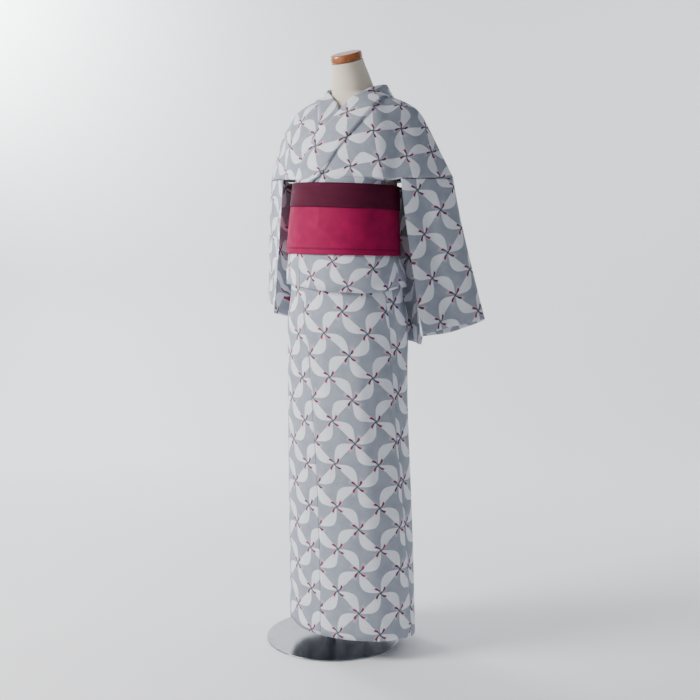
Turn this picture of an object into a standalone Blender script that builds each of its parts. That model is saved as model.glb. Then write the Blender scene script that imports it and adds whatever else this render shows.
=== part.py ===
"""A cotton yukata worn by a limbless dress form on a round steel foot, with its two-coloured belt.

Metres, +Z up. The origin is the centre of the foot's underside, the garment faces -Y and the
wearer's left is +X. Every sewn piece is a wall of its own, thickened outward from its inner face.
"""

import math

import bmesh
import bpy
import numpy as np

# Driving dimensions
AXIS_SIDE = 0.057  # the garment's axis stands to the wearer's left of the foot's centre
FOOT_RADIUS = 0.173
FOOT_THICK = 0.004
FOOT_EDGE = 0.0012
POLE_SIDE = -0.008
POLE_RADIUS = 0.0082
POLE_EDGE = 0.001
SOCKET_RADIUS = 0.013
SOCKET_HEIGHT = 0.033
SOCKET_EDGE = 0.002
NECK_LEAN = math.radians(22.0)
CAP_RADIUS = 0.0392
CAP_THICK = 0.019
CAP_EDGE = 0.004

CLOTH = 0.0016  # one wall of the cotton
COLLAR_CLOTH = 0.0018
SEAM = 0.0004  # between pieces that are sewn to each other
LAYER = 0.0006  # between pieces that lie on each other
COLLAR_LAYER = 0.0012  # the same where the collar bends over a panel's edge
FIT = 0.0016  # between the padded torso and the cloth that it fills
OBI_HEIGHT = 0.170
OBI_BOTTOM = 0.990
OBI_CLOTH = 0.0022
TURNED_HEIGHT = 0.057  # the dark edge turned over to the outside
TURNED_CLOTH = 0.0016
SKIRT_TOP = 1.010  # the skirt ends under the belt
WING_CLOTH = 0.0020
KNOT_HALF_HEIGHT = 0.034
KNOT_HALF_DEPTH = 0.0185
KNOT_WIDTH = 0.052
KNOT_MIDDLE = 1.066
KNOT_BELLY = 0.10  # how much slimmer the knot is at its two ends
OBI_RISE = 0.004  # the belt's lower edge stands this much higher on the wearer's right
OBI_TOP_RISE = 0.0070  # the same for its upper edge
OBI_TRIM = 0.0010  # the upper edge lies this much below the full height
TURNED_UP = 0.001  # the turned edge reaches this far above the wrap

# How far each layer's inner face lies outside the surface that the cloth hangs on
OVER_SKIRT = CLOTH + LAYER
COLLAR_OVER = CLOTH + COLLAR_LAYER
OVER_CHEST = COLLAR_OVER + COLLAR_CLOTH + COLLAR_LAYER
OBI_FRONT = OVER_CHEST + COLLAR_OVER + COLLAR_CLOTH + LAYER
OBI_BACK = CLOTH + LAYER
OBI_FRONT_REACH = (125.0, 68.0)  # degrees from the front between which the belt moves out
OVER_SIDE = (1.95, 1.5)  # the same for the over side of the chest, in lines
OVER_SHOULDER = (4.6, 3.2)  # and towards the shoulder, in levels

# Level sections of the skirt's inner face: height, half width, half depth, shift to the back and
# to the wearer's left
SKIRT_SECTIONS = (
    (0.030, 0.1677, 0.1337, 0.0020, 0.000),
    (0.180, 0.1660, 0.1320, 0.0000, 0.000),
    (0.410, 0.1622, 0.1290, -0.0095, 0.000),
    (0.630, 0.1570, 0.1249, -0.0187, 0.000),
    (0.780, 0.1560, 0.1240, -0.0198, 0.000),
    (0.840, 0.1546, 0.1230, -0.0205, 0.000),
    (0.880, 0.1462, 0.1159, -0.0225, 0.000),
    (0.930, 0.1422, 0.1126, -0.0235, -0.002),
    (1.010, 0.1310, 0.1038, -0.0240, -0.007),
)
# The same for the upper part, from the fold-over to the belt's upper edge
WAIST_SECTIONS = (
    (0.880, 0.1512, 0.1209, -0.0225, 0.000),
    (0.940, 0.1511, 0.1205, -0.0240, 0.000),
    (0.990, 0.1402, 0.1122, -0.0240, -0.007),
    (1.050, 0.1358, 0.1088, -0.0235, -0.006),
    (1.110, 0.1316, 0.1054, -0.0215, -0.004),
    (1.165, 0.1278, 0.1024, -0.0200, -0.002),
    (1.190, 0.1278, 0.1024, -0.0200, -0.002),
)
# The same for the padded torso where it stands clear of the cloth
TORSO_SECTIONS = (
    (0.620, 0.1080, 0.0820, -0.0180, 0.000),
    (0.632, 0.1280, 0.1000, -0.0180, 0.000),
    (0.680, 0.1390, 0.1090, -0.0190, 0.000),
    (0.800, 0.1410, 0.1100, -0.0200, 0.000),
    (0.940, 0.1380, 0.1085, -0.0240, -0.002),
    (1.215, 0.1370, 0.1040, -0.0100, 0.000),
    (1.250, 0.1440, 0.1035, -0.0040, 0.000),
    (1.285, 0.1470, 0.0980, 0.0040, 0.000),
    (1.318, 0.1450, 0.0885, 0.0100, 0.000),
)
TORSO_HIPS = (0.620, 0.632, 0.680, 0.800, 0.940)
TORSO_IN_SKIRT = (0.980, 1.010)
TORSO_IN_BELT = (1.045, 1.100, 1.140, 1.182)
TORSO_CHEST = (1.215, 1.250, 1.285, 1.318)
TORSO_SHOULDER_LEVELS = (3.5, 4.0, 4.35, 4.65, 4.95)
SHOULDER_FIT = 0.0021
TORSO_POINTS = 42
# Rings of the neck: height and fore-and-aft place of the middle, radius, share of the lean
NECK_RINGS = (
    (1.3840, 0.0080, 0.0555, 0.10),
    (1.4000, 0.0020, 0.0520, 0.35),
    (1.4220, -0.0070, 0.0466, 0.75),
    (1.4440, -0.0165, 0.0416, 1.00),
    (1.4590, -0.0228, 0.0392, 1.00),
)

# Lines that run up the chest from the level of the sleeve seams to the neck and on up the collar.
# Each row is one level, 0 to 6: side, fore and aft, height, all from the garment's axis.
FRONT = (
    (0.000, -0.1240, 1.174),
    (0.000, -0.1235, 1.225),
    (0.000, -0.1130, 1.277),
    (0.000, -0.0900, 1.320),
    (0.000, -0.0690, 1.346),
    (0.000, -0.0560, 1.360),
    (0.000, -0.0500, 1.376),
)
BUST = (
    (0.081, -0.1035, 1.174),
    (0.085, -0.1085, 1.228),
    (0.080, -0.1020, 1.282),
    (0.070, -0.0810, 1.330),
    (0.057, -0.0570, 1.358),
    (0.046, -0.0440, 1.372),
    (0.040, -0.0360, 1.388),
)
ARMHOLE = (
    (0.172, -0.055, 1.168),
    (0.163, -0.060, 1.230),
    (0.150, -0.058, 1.292),
    (0.127, -0.047, 1.340),
    (0.098, -0.036, 1.361),
    (0.072, -0.020, 1.374),
    (0.057, -0.008, 1.396),
)
SHOULDER = (
    (0.249, 0.055, 1.172),
    (0.221, 0.040, 1.232),
    (0.195, 0.022, 1.290),
    (0.172, 0.010, 1.332),
    (0.130, 0.008, 1.358),
    (0.090, 0.018, 1.372),
    (0.062, 0.030, 1.402),
)
BLADE = (
    (0.150, 0.098, 1.172),
    (0.148, 0.100, 1.232),
    (0.140, 0.096, 1.290),
    (0.122, 0.086, 1.336),
    (0.096, 0.082, 1.360),
    (0.070, 0.080, 1.374),
    (0.050, 0.078, 1.410),
)
BACK = (
    (0.000, 0.092, 1.172),
    (0.000, 0.106, 1.232),
    (0.000, 0.114, 1.290),
    (0.000, 0.112, 1.333),
    (0.000, 0.107, 1.359),
    (0.000, 0.102, 1.374),
    (0.000, 0.106, 1.412),
)
# The right shoulder hangs a little wider and further forward than the left one
RIGHT_SHOULDER = (
    (-0.262, 0.030, 1.184),
    (-0.240, 0.026, 1.237),
    (-0.2120, 0.016, 1.286),
    (-0.176, 0.008, 1.330),
    (-0.130, 0.008, 1.359),
    (-0.088, 0.018, 1.373),
    (-0.061, 0.030, 1.402),
)
RIGHT_ARMHOLE = (
    (-0.172, -0.055, 1.181),
    (-0.163, -0.060, 1.236),
    (-0.150, -0.058, 1.292),
    (-0.127, -0.047, 1.340),
    (-0.098, -0.036, 1.361),
    (-0.072, -0.020, 1.374),
    (-0.057, -0.008, 1.396),
)
RIGHT_BLADE = (
    (-0.150, 0.098, 1.181),
    (-0.150, 0.100, 1.236),
    (-0.142, 0.096, 1.290),
    (-0.123, 0.086, 1.336),
    (-0.096, 0.082, 1.360),
    (-0.070, 0.080, 1.374),
    (-0.050, 0.078, 1.410),
)
TURN = 10  # ten lines make a full turn, left side first
ARM_FRONT = 2.0  # lines where the side of the panel is open under the arm
ARM_BACK = 4.0
BACK_SEAM = 5.0
BACK_LINE = 0.15  # metres from one line to the next across the back
FRONT_LINE = 0.085  # the same in front

# Rows inside the belt, below level 0 of the chest: level, height, and how many degrees from the
# front and from the back the two edges of the open side lie
WAIST_ROWS = (
    (-6.0, 0.905, 84.9, 94.9),
    (-4.0, 0.990, 84.9, 94.9),
    (-3.0, 1.050, 82.0, 90.0),
    (-2.0, 1.110, 79.0, 85.0),
    (-1.0, 1.150, 76.0, 80.0),
    (-0.3, 1.165, 74.0, 76.0),
)
WAIST_LEVELS = tuple(row[0] for row in WAIST_ROWS)
CHEST_LEVELS = (0.0, 0.4, 0.8, 1.2, 1.8, 2.4, 3.0, 3.5, 4.0, 4.35, 4.65, 4.85, 5.0)
UPPER_LEVELS = WAIST_LEVELS + CHEST_LEVELS
SHELF = 0.004  # the last row inside the belt lies this far below level 0
ARM_COLUMNS = 10
BACK_COLUMNS = 9

# Where the skirt's seams lie, in degrees from the front, at each height
FRONT_SEAM = (
    (0.03, -2.4),
    (0.12, -2.4),
    (0.29, -2.5),
    (0.44, -3.7),
    (0.55, -6.0),
    (0.65, -8.3),
    (0.76, -12.3),
    (0.85, -19.5),
    (1.05, -23.0),
)
LEFT_SIDE_SEAM = (
    (0.03, 93.0),
    (0.12, 90.0),
    (0.29, 83.5),
    (0.44, 79.5),
    (0.55, 76.5),
    (0.65, 73.0),
    (0.76, 70.0),
    (0.85, 67.5),
    (1.05, 66.5),
)
RIGHT_SIDE_SEAM = -95.0
OVER_EDGE = -58.0  # free front edge of the over side
UNDER_EDGE = 58.0  # free front edge of the under side
EDGE_EASE = 1.0  # degrees beside those edges over which the over side comes down
HIP_RADIUS = 0.15
SEAM_ANGLE = math.degrees(SEAM / HIP_RADIUS)
SKIRT_ROWS = (0.0, 0.10, 0.21, 0.32, 0.43, 0.54, 0.65, 0.75, 0.84, 0.88, 0.93, SKIRT_TOP)

# Height of the hem round the body, and of the fold-over's lower edge
HEM = (
    (-180.0, 0.044),
    (-120.0, 0.044),
    (-95.0, 0.047),
    (-60.0, 0.062),
    (-40.0, 0.063),
    (-25.0, 0.057),
    (0.0, 0.0565),
    (30.0, 0.055),
    (70.0, 0.050),
    (95.0, 0.041),
    (120.0, 0.042),
    (180.0, 0.044),
)
FOLD_EDGE = (
    (-180.0, 0.912),
    (-90.0, 0.916),
    (-45.0, 0.9185),
    (-23.0, 0.914),
    (0.0, 0.905),
    (44.0, 0.898),
    (63.0, 0.902),
    (85.0, 0.911),
    (180.0, 0.912),
)
# Soft lengthwise folds of the skirt: degrees round at the waist and at the hem, height of the
# ridge (a trough is negative), half its width in degrees, heights where it starts and ends
SKIRT_FOLDS = (
    (28.0, 56.0, 0.0026, 10.0, 0.05, 0.82),
    (58.0, 80.0, 0.0030, 9.0, 0.12, 0.82),
    (112.0, 118.0, -0.0030, 10.0, 0.05, 0.82),
    (138.0, 142.0, 0.0026, 11.0, 0.05, 0.80),
    (-120.0, -116.0, -0.0028, 10.0, 0.05, 0.82),
    (-146.0, -140.0, 0.0024, 11.0, 0.15, 0.82),
)
FOLD_FADE_LOW = (0.08, 0.12)  # metres below and above a fold's lower end over which it fades
FOLD_FADE_HIGH = 0.16
FOLDS_FROM = (60.0, 72.0)  # the under layer stays smooth in front, out to these degrees
# Soft folds over the chest: line and level of each end, ridge, half its width in lines
CHEST_FOLDS = (
    (1.75, -0.2, 2.30, 2.4, -0.0040, 0.20),
    (2.15, -0.2, 2.62, 2.2, 0.0030, 0.20),
    (-1.75, -0.2, -2.30, 2.2, -0.0036, 0.20),
    (4.20, -0.2, 3.80, 2.4, -0.0040, 0.22),
    (-4.20, -0.2, -3.80, 2.2, -0.0036, 0.22),
)
CHEST_FOLD_STARTS = (-0.05, 0.25)  # shares of a fold's length over which it rises and fades
CHEST_FOLD_ENDS = (1.05, 0.55)

# The collar, from its left end round the neck to its right end: line and level of the sewn edge,
# then of the free edge
COLLAR = (
    (-0.50, -1.00, -1.40, -1.00),
    (-0.20, -0.30, -1.22, -0.30),
    (-0.08, 0.00, -1.13, 0.00),
    (0.20, 0.59, -0.57, 1.10),
    (0.55, 1.34, -0.27, 1.95),
    (1.01, 2.09, 0.18, 2.75),
    (1.36, 2.60, 0.45, 3.40),
    (1.66, 3.00, 0.68, 4.20),
    (2.02, 3.60, 1.05, 5.00),
    (2.42, 4.20, 1.60, 5.55),
    (2.74, 4.65, 2.25, 5.85),
    (3.25, 4.93, 3.10, 6.00),
    (4.00, 4.93, 4.00, 6.00),
    (5.00, 4.93, 5.00, 6.00),
    (6.00, 4.93, 6.00, 6.00),
    (6.75, 4.93, 6.90, 6.00),
    (7.55, 4.60, 7.75, 6.00),
    (8.30, 4.30, 8.50, 5.90),
    (9.08, 3.80, 9.40, 5.45),
    (9.45, 3.00, 9.95, 4.40),
    (9.74, 2.12, 10.32, 3.11),
    (10.12, 1.20, 10.57, 1.80),
    (10.40, 0.45, 10.80, 0.80),
    (10.55, 0.00, 10.98, 0.00),
    (10.62, -0.30, 11.04, -0.30),
    (10.80, -1.00, 11.15, -1.00),
)
LEFT_STATIONS = COLLAR[:12]
RIGHT_STATIONS = COLLAR[15:]
COLLAR_LAP = 0.045  # the panels reach this far under the collar, in lines
COLLAR_STEPS = 3 * (len(COLLAR) - 1)
COLLAR_ROWS = 2
LEFT_WAIST_SEAM = ((-6.0, -0.52), (-1.01, -0.50))
RIGHT_WAIST_SEAM = ((-6.0, 0.55), (-3.0, 0.68), (-1.01, 0.80))
# Free edges of the overlap panels in the fold-over
LEFT_OVERLAP_EDGE = ((-6.0, -1.37), (-4.0, -1.37), (-3.0, -1.15), (-2.0, -0.80))
RIGHT_OVERLAP_EDGE = ((-6.0, 1.37), (-4.0, 1.37), (-3.0, 1.28), (-2.0, 1.15))
OVERLAP_LEVELS = (-6.0, -4.0, -3.0, -2.0)

# The sleeves' cuffs, going from the front edge over the outer fold to the back edge and on along
# the side next to the body: step round the sleeve, side, fore and aft, height
CUFF_STEPS = (0.0, 2.5, 5.0, 7.5, 10.0, 12.0, 14.0, 17.0, 20.0)
LEFT_CUFF = (
    (0.2330, -0.060, 0.803),
    (0.2810, 0.008, 0.820),
    (0.3255, 0.078, 0.835),
    (0.2400, 0.096, 0.802),
    (0.1500, 0.103, 0.786),
    (0.0850, 0.102, 0.779),
    (0.1400, 0.068, 0.774),
    (0.1900, 0.010, 0.774),
    (0.2330, -0.060, 0.803),
)
RIGHT_CUFF = (
    (-0.1960, -0.060, 0.842),
    (-0.2540, 0.010, 0.858),
    (-0.3080, 0.078, 0.874),
    (-0.2200, 0.098, 0.848),
    (-0.1500, 0.103, 0.832),
    (-0.0850, 0.102, 0.826),
    (-0.1400, 0.070, 0.820),
    (-0.1740, 0.015, 0.824),
    (-0.1960, -0.060, 0.842),
)
SLEEVE_SEAM = 0.0024  # the sleeves hang this far below the panels they are sewn to
# The upper edge of the side next to the body, from the back of the armhole to its front: step
# round the sleeve, side, fore and aft, height
SLEEVE_INNER_EDGE = (
    (12.0, 0.085, 0.084, 1.140),
    (14.0, 0.130, 0.064, 1.146),
    (17.0, 0.164, 0.006, 1.150),
)
SLEEVE_AROUND = 20
SLEEVE_MIDDLE = (0.19, 0.03)  # side and fore-and-aft place that its folds are raised away from
SLEEVE_ROWS = 7
SLEEVE_FLARE = 1.15
SLEEVE_FOLDS_START = (0.0, 0.25)  # shares of the way down over which the folds set in
# Soft folds of a sleeve: step at the top and at the cuff, ridge, half its width in steps
SLEEVE_FOLDS = (
    (1.4, 2.2, -0.0050, 0.9),
    (3.6, 3.9, 0.0030, 0.8),
    (7.6, 7.2, -0.0040, 1.1),
)

# Half of the bow's loop seen from above, from the knot out and back: share of the way, side, aft
# of the knot's middle, and half the height of the band there
WING_PATH = (
    (0.00, 0.0006, -0.0070, 0.017),
    (0.14, 0.0270, -0.0070, 0.018),
    (0.28, 0.0600, -0.0040, 0.046),
    (0.43, 0.1120, 0.0020, 0.068),
    (0.50, 0.1350, 0.0100, 0.073),
    (0.57, 0.1120, 0.0190, 0.070),
    (0.72, 0.0600, 0.0170, 0.050),
    (0.86, 0.0270, 0.0065, 0.018),
    (1.00, 0.0006, 0.0060, 0.017),
)
WING_DROOP = 0.55

for old in list(bpy.data.objects):
    bpy.data.objects.remove(old, do_unlink=True)


def material(name, colour, roughness, metallic=0.0):
    made = bpy.data.materials.new(name)
    made.use_nodes = True
    shader = made.node_tree.nodes["Principled BSDF"]
    shader.inputs["Base Color"].default_value = (*colour, 1.0)
    shader.inputs["Roughness"].default_value = roughness
    shader.inputs["Metallic"].default_value = metallic
    return made


COTTON = material("printed_cotton", (0.42, 0.46, 0.54), 0.9)
CRIMSON = material("belt_crimson", (0.34, 0.01, 0.06), 0.75)
MAROON = material("belt_maroon", (0.10, 0.008, 0.03), 0.75)
CREAM = material("form_cover", (0.78, 0.70, 0.56), 0.85)
WOOD = material("cap_wood", (0.45, 0.17, 0.05), 0.35)
CHROME = material("pole_chrome", (0.70, 0.71, 0.72), 0.12, 1.0)
STEEL = material("foot_steel", (0.42, 0.43, 0.44), 0.2, 1.0)


# Smooth curves through the tables

def blend(start, end, leave, arrive, part):
    """Cubic between two values with the given slopes."""
    square = part * part
    cube = square * part
    return (
        (2 * cube - 3 * square + 1) * start
        + (cube - 2 * square + part) * leave
        + (3 * square - 2 * cube) * end
        + (cube - square) * arrive
    )


def through(rows, at):
    """The smooth curve through a table whose first column is the knots."""
    rows = np.asarray(rows, float)
    knots = rows[:, 0]
    values = rows[:, 1:]
    slopes = np.gradient(values, knots, axis=0)
    at = np.clip(np.asarray(at, float), knots[0], knots[-1])
    low = np.clip(np.searchsorted(knots, at, side="right") - 1, 0, len(knots) - 2)
    span = (knots[low + 1] - knots[low])[..., None]
    part = (at - knots[low])[..., None] / span
    return blend(values[low], values[low + 1], slopes[low] * span, slopes[low + 1] * span, part)


def straight(rows, at):
    """Straight steps through a table of two columns."""
    rows = np.asarray(rows, float)
    return np.interp(at, rows[:, 0], rows[:, 1])


def soft_step(low, high, at):
    part = np.clip((at - low) / (high - low), 0.0, 1.0)
    return part * part * (3 - 2 * part)


def wrapped(value, turn):
    """The same place on the round, counted from half a turn below nought to half a turn above."""
    return (value + turn / 2) % turn - turn / 2


# The surfaces that the cloth hangs on

def section_point(sections, angle, height, out):
    """A point outside a table of level sections: degrees from the front, height, distance out."""
    angle, height, out = np.broadcast_arrays(*(np.asarray(v, float) for v in (angle, height, out)))
    size = through(sections, height)
    half_width = size[..., 0]
    half_depth = size[..., 1]
    back = size[..., 2]
    aside = size[..., 3]
    side = np.sin(np.radians(angle))
    fore = np.cos(np.radians(angle))
    length = np.hypot(side / half_width, fore / half_depth)
    x = AXIS_SIDE + aside + half_width * side + out * side / half_width / length
    y = back - half_depth * fore - out * fore / half_depth / length
    return np.stack([x, y, height], axis=-1)


RIGHT_BUST = np.array(BUST) * (-1, 1, 1)
CHEST = np.array(
    [
        FRONT,
        BUST,
        ARMHOLE,
        SHOULDER,
        BLADE,
        BACK,
        RIGHT_BLADE,
        RIGHT_SHOULDER,
        RIGHT_ARMHOLE,
        RIGHT_BUST,
    ]
)
CHEST_SLOPES = np.gradient(CHEST, axis=1)


def chest_bare(line, level):
    low = np.clip(np.floor(level).astype(int), 0, CHEST.shape[1] - 2)
    part = (level - low)[..., None]

    def at(index):
        index = index % TURN
        leave = CHEST_SLOPES[index, low]
        arrive = CHEST_SLOPES[index, low + 1]
        return blend(CHEST[index, low], CHEST[index, low + 1], leave, arrive, part)

    first = np.floor(line).astype(int)
    before, start, end, after = at(first - 1), at(first), at(first + 1), at(first + 2)
    share = (line - first)[..., None]
    return blend(start, end, (end - before) / 2, (after - start) / 2, share)


def chest_fold(line, level):
    """How far the soft folds over the chest raise it."""
    raised = np.zeros_like(level)
    for line_low, level_low, line_high, level_high, ridge, half_width in CHEST_FOLDS:
        part = (level - level_low) / (level_high - level_low)
        middle = line_low + part * (line_high - line_low)
        away = wrapped(line - middle, TURN)
        ends = soft_step(*CHEST_FOLD_STARTS, part) * soft_step(*CHEST_FOLD_ENDS, part)
        raised = raised + ridge * ends * np.exp(-((away / half_width) ** 2))
    return raised


def chest_point(line, level, out):
    """A point of the chest: how far round in lines, how far up in levels, distance out."""
    line, level, out = np.broadcast_arrays(*(np.asarray(v, float) for v in (line, level, out)))
    step = 1e-3
    round_it = chest_bare(line + step, level) - chest_bare(line - step, level)
    up_it = chest_bare(line, level + step) - chest_bare(line, level - step)
    normal = np.cross(round_it, up_it)
    normal /= np.linalg.norm(normal, axis=-1, keepdims=True)
    lift = (out + chest_fold(line, level))[..., None]
    return chest_bare(line, level) + lift * normal + np.array([AXIS_SIDE, 0.0, 0.0])


def upper_point(line, level, out):
    """A point of the upper part: on the chest from level 0 up, on the waist's rows below it."""
    line, level, out = np.broadcast_arrays(*(np.asarray(v, float) for v in (line, level, out)))
    turned = wrapped(line, TURN)
    rows = np.array(WAIST_ROWS)
    low = np.clip(level, rows[0, 0], rows[-1, 0])
    front_reach = np.interp(low, rows[:, 0], rows[:, 2])
    back_reach = np.interp(low, rows[:, 0], rows[:, 3])
    from_front = np.abs(turned) / ARM_FRONT * front_reach
    from_back = 180.0 - (BACK_SEAM - np.abs(turned)) / (BACK_SEAM - ARM_BACK) * back_reach
    between = front_reach + (np.abs(turned) - ARM_FRONT) * (180.0 - back_reach - front_reach) / 2
    angle = np.where(np.abs(turned) > ARM_FRONT, between, from_front)
    angle = np.sign(turned) * np.where(np.abs(turned) >= ARM_BACK, from_back, angle)
    chest = chest_point(line, np.maximum(level, 0.0), out)
    shelf = chest_bare(line, np.zeros_like(level))[..., 2] - SHELF
    height = np.interp(low, rows[:, 0], rows[:, 1])
    last = np.clip((low - rows[-2, 0]) / (rows[-1, 0] - rows[-2, 0]), 0.0, 1.0)
    height = height + last * (shelf - rows[-1, 1])
    first = np.clip((rows[1, 0] - low) / (rows[1, 0] - rows[0, 0]), 0.0, 1.0)
    height = height + first * (straight(FOLD_EDGE, angle) - rows[0, 1])
    waist = section_point(WAIST_SECTIONS, angle, height, out)
    share = np.clip((level - rows[-1, 0]) / -rows[-1, 0], 0.0, 1.0)[..., None]
    return waist + share * (chest - waist)


def skirt_fold(angle, height):
    raised = np.zeros_like(angle)
    top = SKIRT_SECTIONS[-1][0]
    for top_angle, hem_angle, ridge, half_width, low, high in SKIRT_FOLDS:
        away = wrapped(angle - hem_angle - (top_angle - hem_angle) * height / top, 360.0)
        ends = soft_step(low - FOLD_FADE_LOW[0], low + FOLD_FADE_LOW[1], height)
        ends = ends * soft_step(high, high - FOLD_FADE_HIGH, height)
        raised = raised + ridge * ends * np.exp(-((away / half_width) ** 2))
    return raised


# Making walls and lofted bodies

def finish(name, mesh, look):
    data = bpy.data.meshes.new(name)
    mesh.to_mesh(data)
    mesh.free()
    data.shade_smooth()
    data.set_sharp_from_angle(angle=math.radians(40.0))
    data.materials.append(look)
    made = bpy.data.objects.new(name, data)
    bpy.context.scene.collection.objects.link(made)
    return made


def carried_grid(columns, rows, place, keep=None, closed=False, flip=False):
    """A flat grid carried to its place. Both functions take the shares across and up."""
    mesh = bmesh.new()
    bmesh.ops.create_grid(mesh, x_segments=columns, y_segments=rows, size=0.5)
    if keep is not None:
        spare = []
        for face in mesh.faces:
            middle = face.calc_center_median()
            if not keep(middle.x + 0.5, middle.y + 0.5):
                spare.append(face)
        bmesh.ops.delete(mesh, geom=spare, context="FACES")
    flat = np.array([vert.co[:2] for vert in mesh.verts]) + 0.5
    for vert, point in zip(mesh.verts, place(flat[:, 0], flat[:, 1])):
        vert.co = point
    if closed:
        bmesh.ops.remove_doubles(mesh, verts=mesh.verts, dist=1e-6)
    if flip:
        bmesh.ops.reverse_faces(mesh, faces=mesh.faces)
    return mesh


def wall(name, mesh, thickness, look):
    """Gives a carried grid its thickness, outward."""
    made = finish(name, mesh, look)
    thick = made.modifiers.new("thickness", "SOLIDIFY")
    thick.thickness = thickness
    thick.offset = 1.0
    thick.use_even_offset = True
    return made


def loft(name, rings, look):
    """A closed body through rings of points, capped at both ends."""
    rings = np.array(rings)
    count = rings.shape[1]

    def place(across, up):
        ring = np.rint(up * (len(rings) - 1)).astype(int)
        step = np.rint(across * count).astype(int) % count
        return rings[ring, step]

    mesh = carried_grid(count, len(rings) - 1, place, closed=True)
    ends = [edge for edge in mesh.edges if edge.is_boundary]
    bmesh.ops.holes_fill(mesh, edges=ends, sides=0)
    bmesh.ops.recalc_face_normals(mesh, faces=mesh.faces)
    return finish(name, mesh, look)


def round_plate(name, radius, thickness, edge, segments, look, steps=1):
    """A flat round piece with rounded rims, its underside at its own origin."""
    mesh = bmesh.new()
    bmesh.ops.create_cone(
        mesh, cap_ends=True, segments=segments, radius1=radius, radius2=radius, depth=thickness
    )
    bmesh.ops.translate(mesh, verts=mesh.verts, vec=(0.0, 0.0, thickness / 2))
    rims = [rim for rim in mesh.edges if abs(rim.verts[0].co.z - rim.verts[1].co.z) < 1e-7]
    bmesh.ops.bevel(mesh, geom=rims, offset=edge, segments=steps, profile=0.5, affect="EDGES")
    return finish(name, mesh, look)


# Steel foot, socket and pole

round_plate("foot_disc", FOOT_RADIUS, FOOT_THICK, FOOT_EDGE, 48, STEEL)

socket = round_plate("pole_socket", SOCKET_RADIUS, SOCKET_HEIGHT, SOCKET_EDGE, 18, CHROME)
socket.location = (POLE_SIDE, 0.0, FOOT_THICK + SEAM)

pole_foot = FOOT_THICK + SOCKET_HEIGHT + 2 * SEAM
pole_length = TORSO_HIPS[0] - SEAM - pole_foot
pole = round_plate("pole", POLE_RADIUS, pole_length, POLE_EDGE, 16, CHROME)
pole.location = (POLE_SIDE, 0.0, pole_foot)


# Padded torso with its leaning neck, and the wooden cap

def torso_rings():
    share = np.arange(TORSO_POINTS) / TORSO_POINTS
    angle = share * 360.0
    rings = []
    for sections, heights, inset in (
        (TORSO_SECTIONS, TORSO_HIPS, 0.0),
        (SKIRT_SECTIONS, TORSO_IN_SKIRT, FIT),
        (WAIST_SECTIONS, TORSO_IN_BELT, FIT),
        (TORSO_SECTIONS, TORSO_CHEST, 0.0),
    ):
        for height in heights:
            rings.append(section_point(sections, angle, height, -inset))
    for level in TORSO_SHOULDER_LEVELS:
        rings.append(chest_point(share * TURN, level, -SHOULDER_FIT))
    for height, middle, radius, lean in NECK_RINGS:
        tilt = NECK_LEAN * lean
        side = radius * np.sin(np.radians(angle))
        fore = -radius * np.cos(np.radians(angle))
        y = middle + fore * math.cos(tilt)
        rings.append(np.stack([AXIS_SIDE + side, y, height + fore * math.sin(tilt)], axis=-1))
    return rings


loft("torso_form", torso_rings(), CREAM)

neck_height, neck_middle = NECK_RINGS[-1][:2]
cap = round_plate("neck_cap", CAP_RADIUS, CAP_THICK, CAP_EDGE, 28, WOOD, 2)
cap.rotation_euler = (NECK_LEAN, 0.0, 0.0)
cap.location = (
    AXIS_SIDE,
    neck_middle - SEAM * math.sin(NECK_LEAN),
    neck_height + SEAM * math.cos(NECK_LEAN),
)


# Skirt: two back panels, two front panels and two front overlap panels

def skirt_panel(name, start_edge, end_edge, over, columns):
    """A skirt panel between two edges, each given as degrees for a height."""
    rows = len(SKIRT_ROWS) - 1
    levels = np.array(SKIRT_ROWS)

    def place(across, up):
        row = np.rint(up * rows).astype(int)
        height = np.where(row > 0, levels[row], HEM[0][1])
        start = start_edge(height)
        angle = start + across * (end_edge(height) - start)
        height = np.where(row > 0, height, straight(HEM, angle))
        drop = soft_step(straight(LEFT_SIDE_SEAM, height) - EDGE_EASE, UNDER_EDGE + EDGE_EASE, angle)
        fold = skirt_fold(angle, height)
        if not over:
            fold = fold * soft_step(*FOLDS_FROM, np.abs(angle))
        return section_point(SKIRT_SECTIONS, angle, height, over * OVER_SKIRT * drop + fold)

    wall(name, carried_grid(columns, rows, place), CLOTH, COTTON)


skirt_panel(
    "skirt_back_left",
    lambda height: straight(LEFT_SIDE_SEAM, height) + SEAM_ANGLE,
    lambda height: 180.0 - SEAM_ANGLE / 2,
    0,
    13,
)
skirt_panel(
    "skirt_back_right",
    lambda height: SEAM_ANGLE / 2 - 180.0,
    lambda height: RIGHT_SIDE_SEAM - SEAM_ANGLE,
    0,
    11,
)
skirt_panel(
    "skirt_front_right",
    lambda height: RIGHT_SIDE_SEAM,
    lambda height: -straight(FRONT_SEAM, height) - SEAM_ANGLE,
    0,
    13,
)
skirt_panel(
    "skirt_overlap_right",
    lambda height: -straight(FRONT_SEAM, height),
    lambda height: UNDER_EDGE,
    0,
    7,
)
skirt_panel(
    "skirt_front_left",
    lambda height: straight(FRONT_SEAM, height) + SEAM_ANGLE,
    lambda height: straight(LEFT_SIDE_SEAM, height),
    1,
    12,
)
skirt_panel(
    "skirt_overlap_left",
    lambda height: OVER_EDGE,
    lambda height: straight(FRONT_SEAM, height),
    1,
    7,
)


# Upper part: each side is one cloth from the fold up over the shoulder and down the back

def over_off(line, level):
    """How far the left side lies off the body: over the right one in front, on the body behind."""
    line = wrapped(line, TURN)
    return OVER_CHEST * soft_step(*OVER_SIDE, line) * soft_step(*OVER_SHOULDER, level)


def body_off(line, level):
    return 0.0 * line


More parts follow.
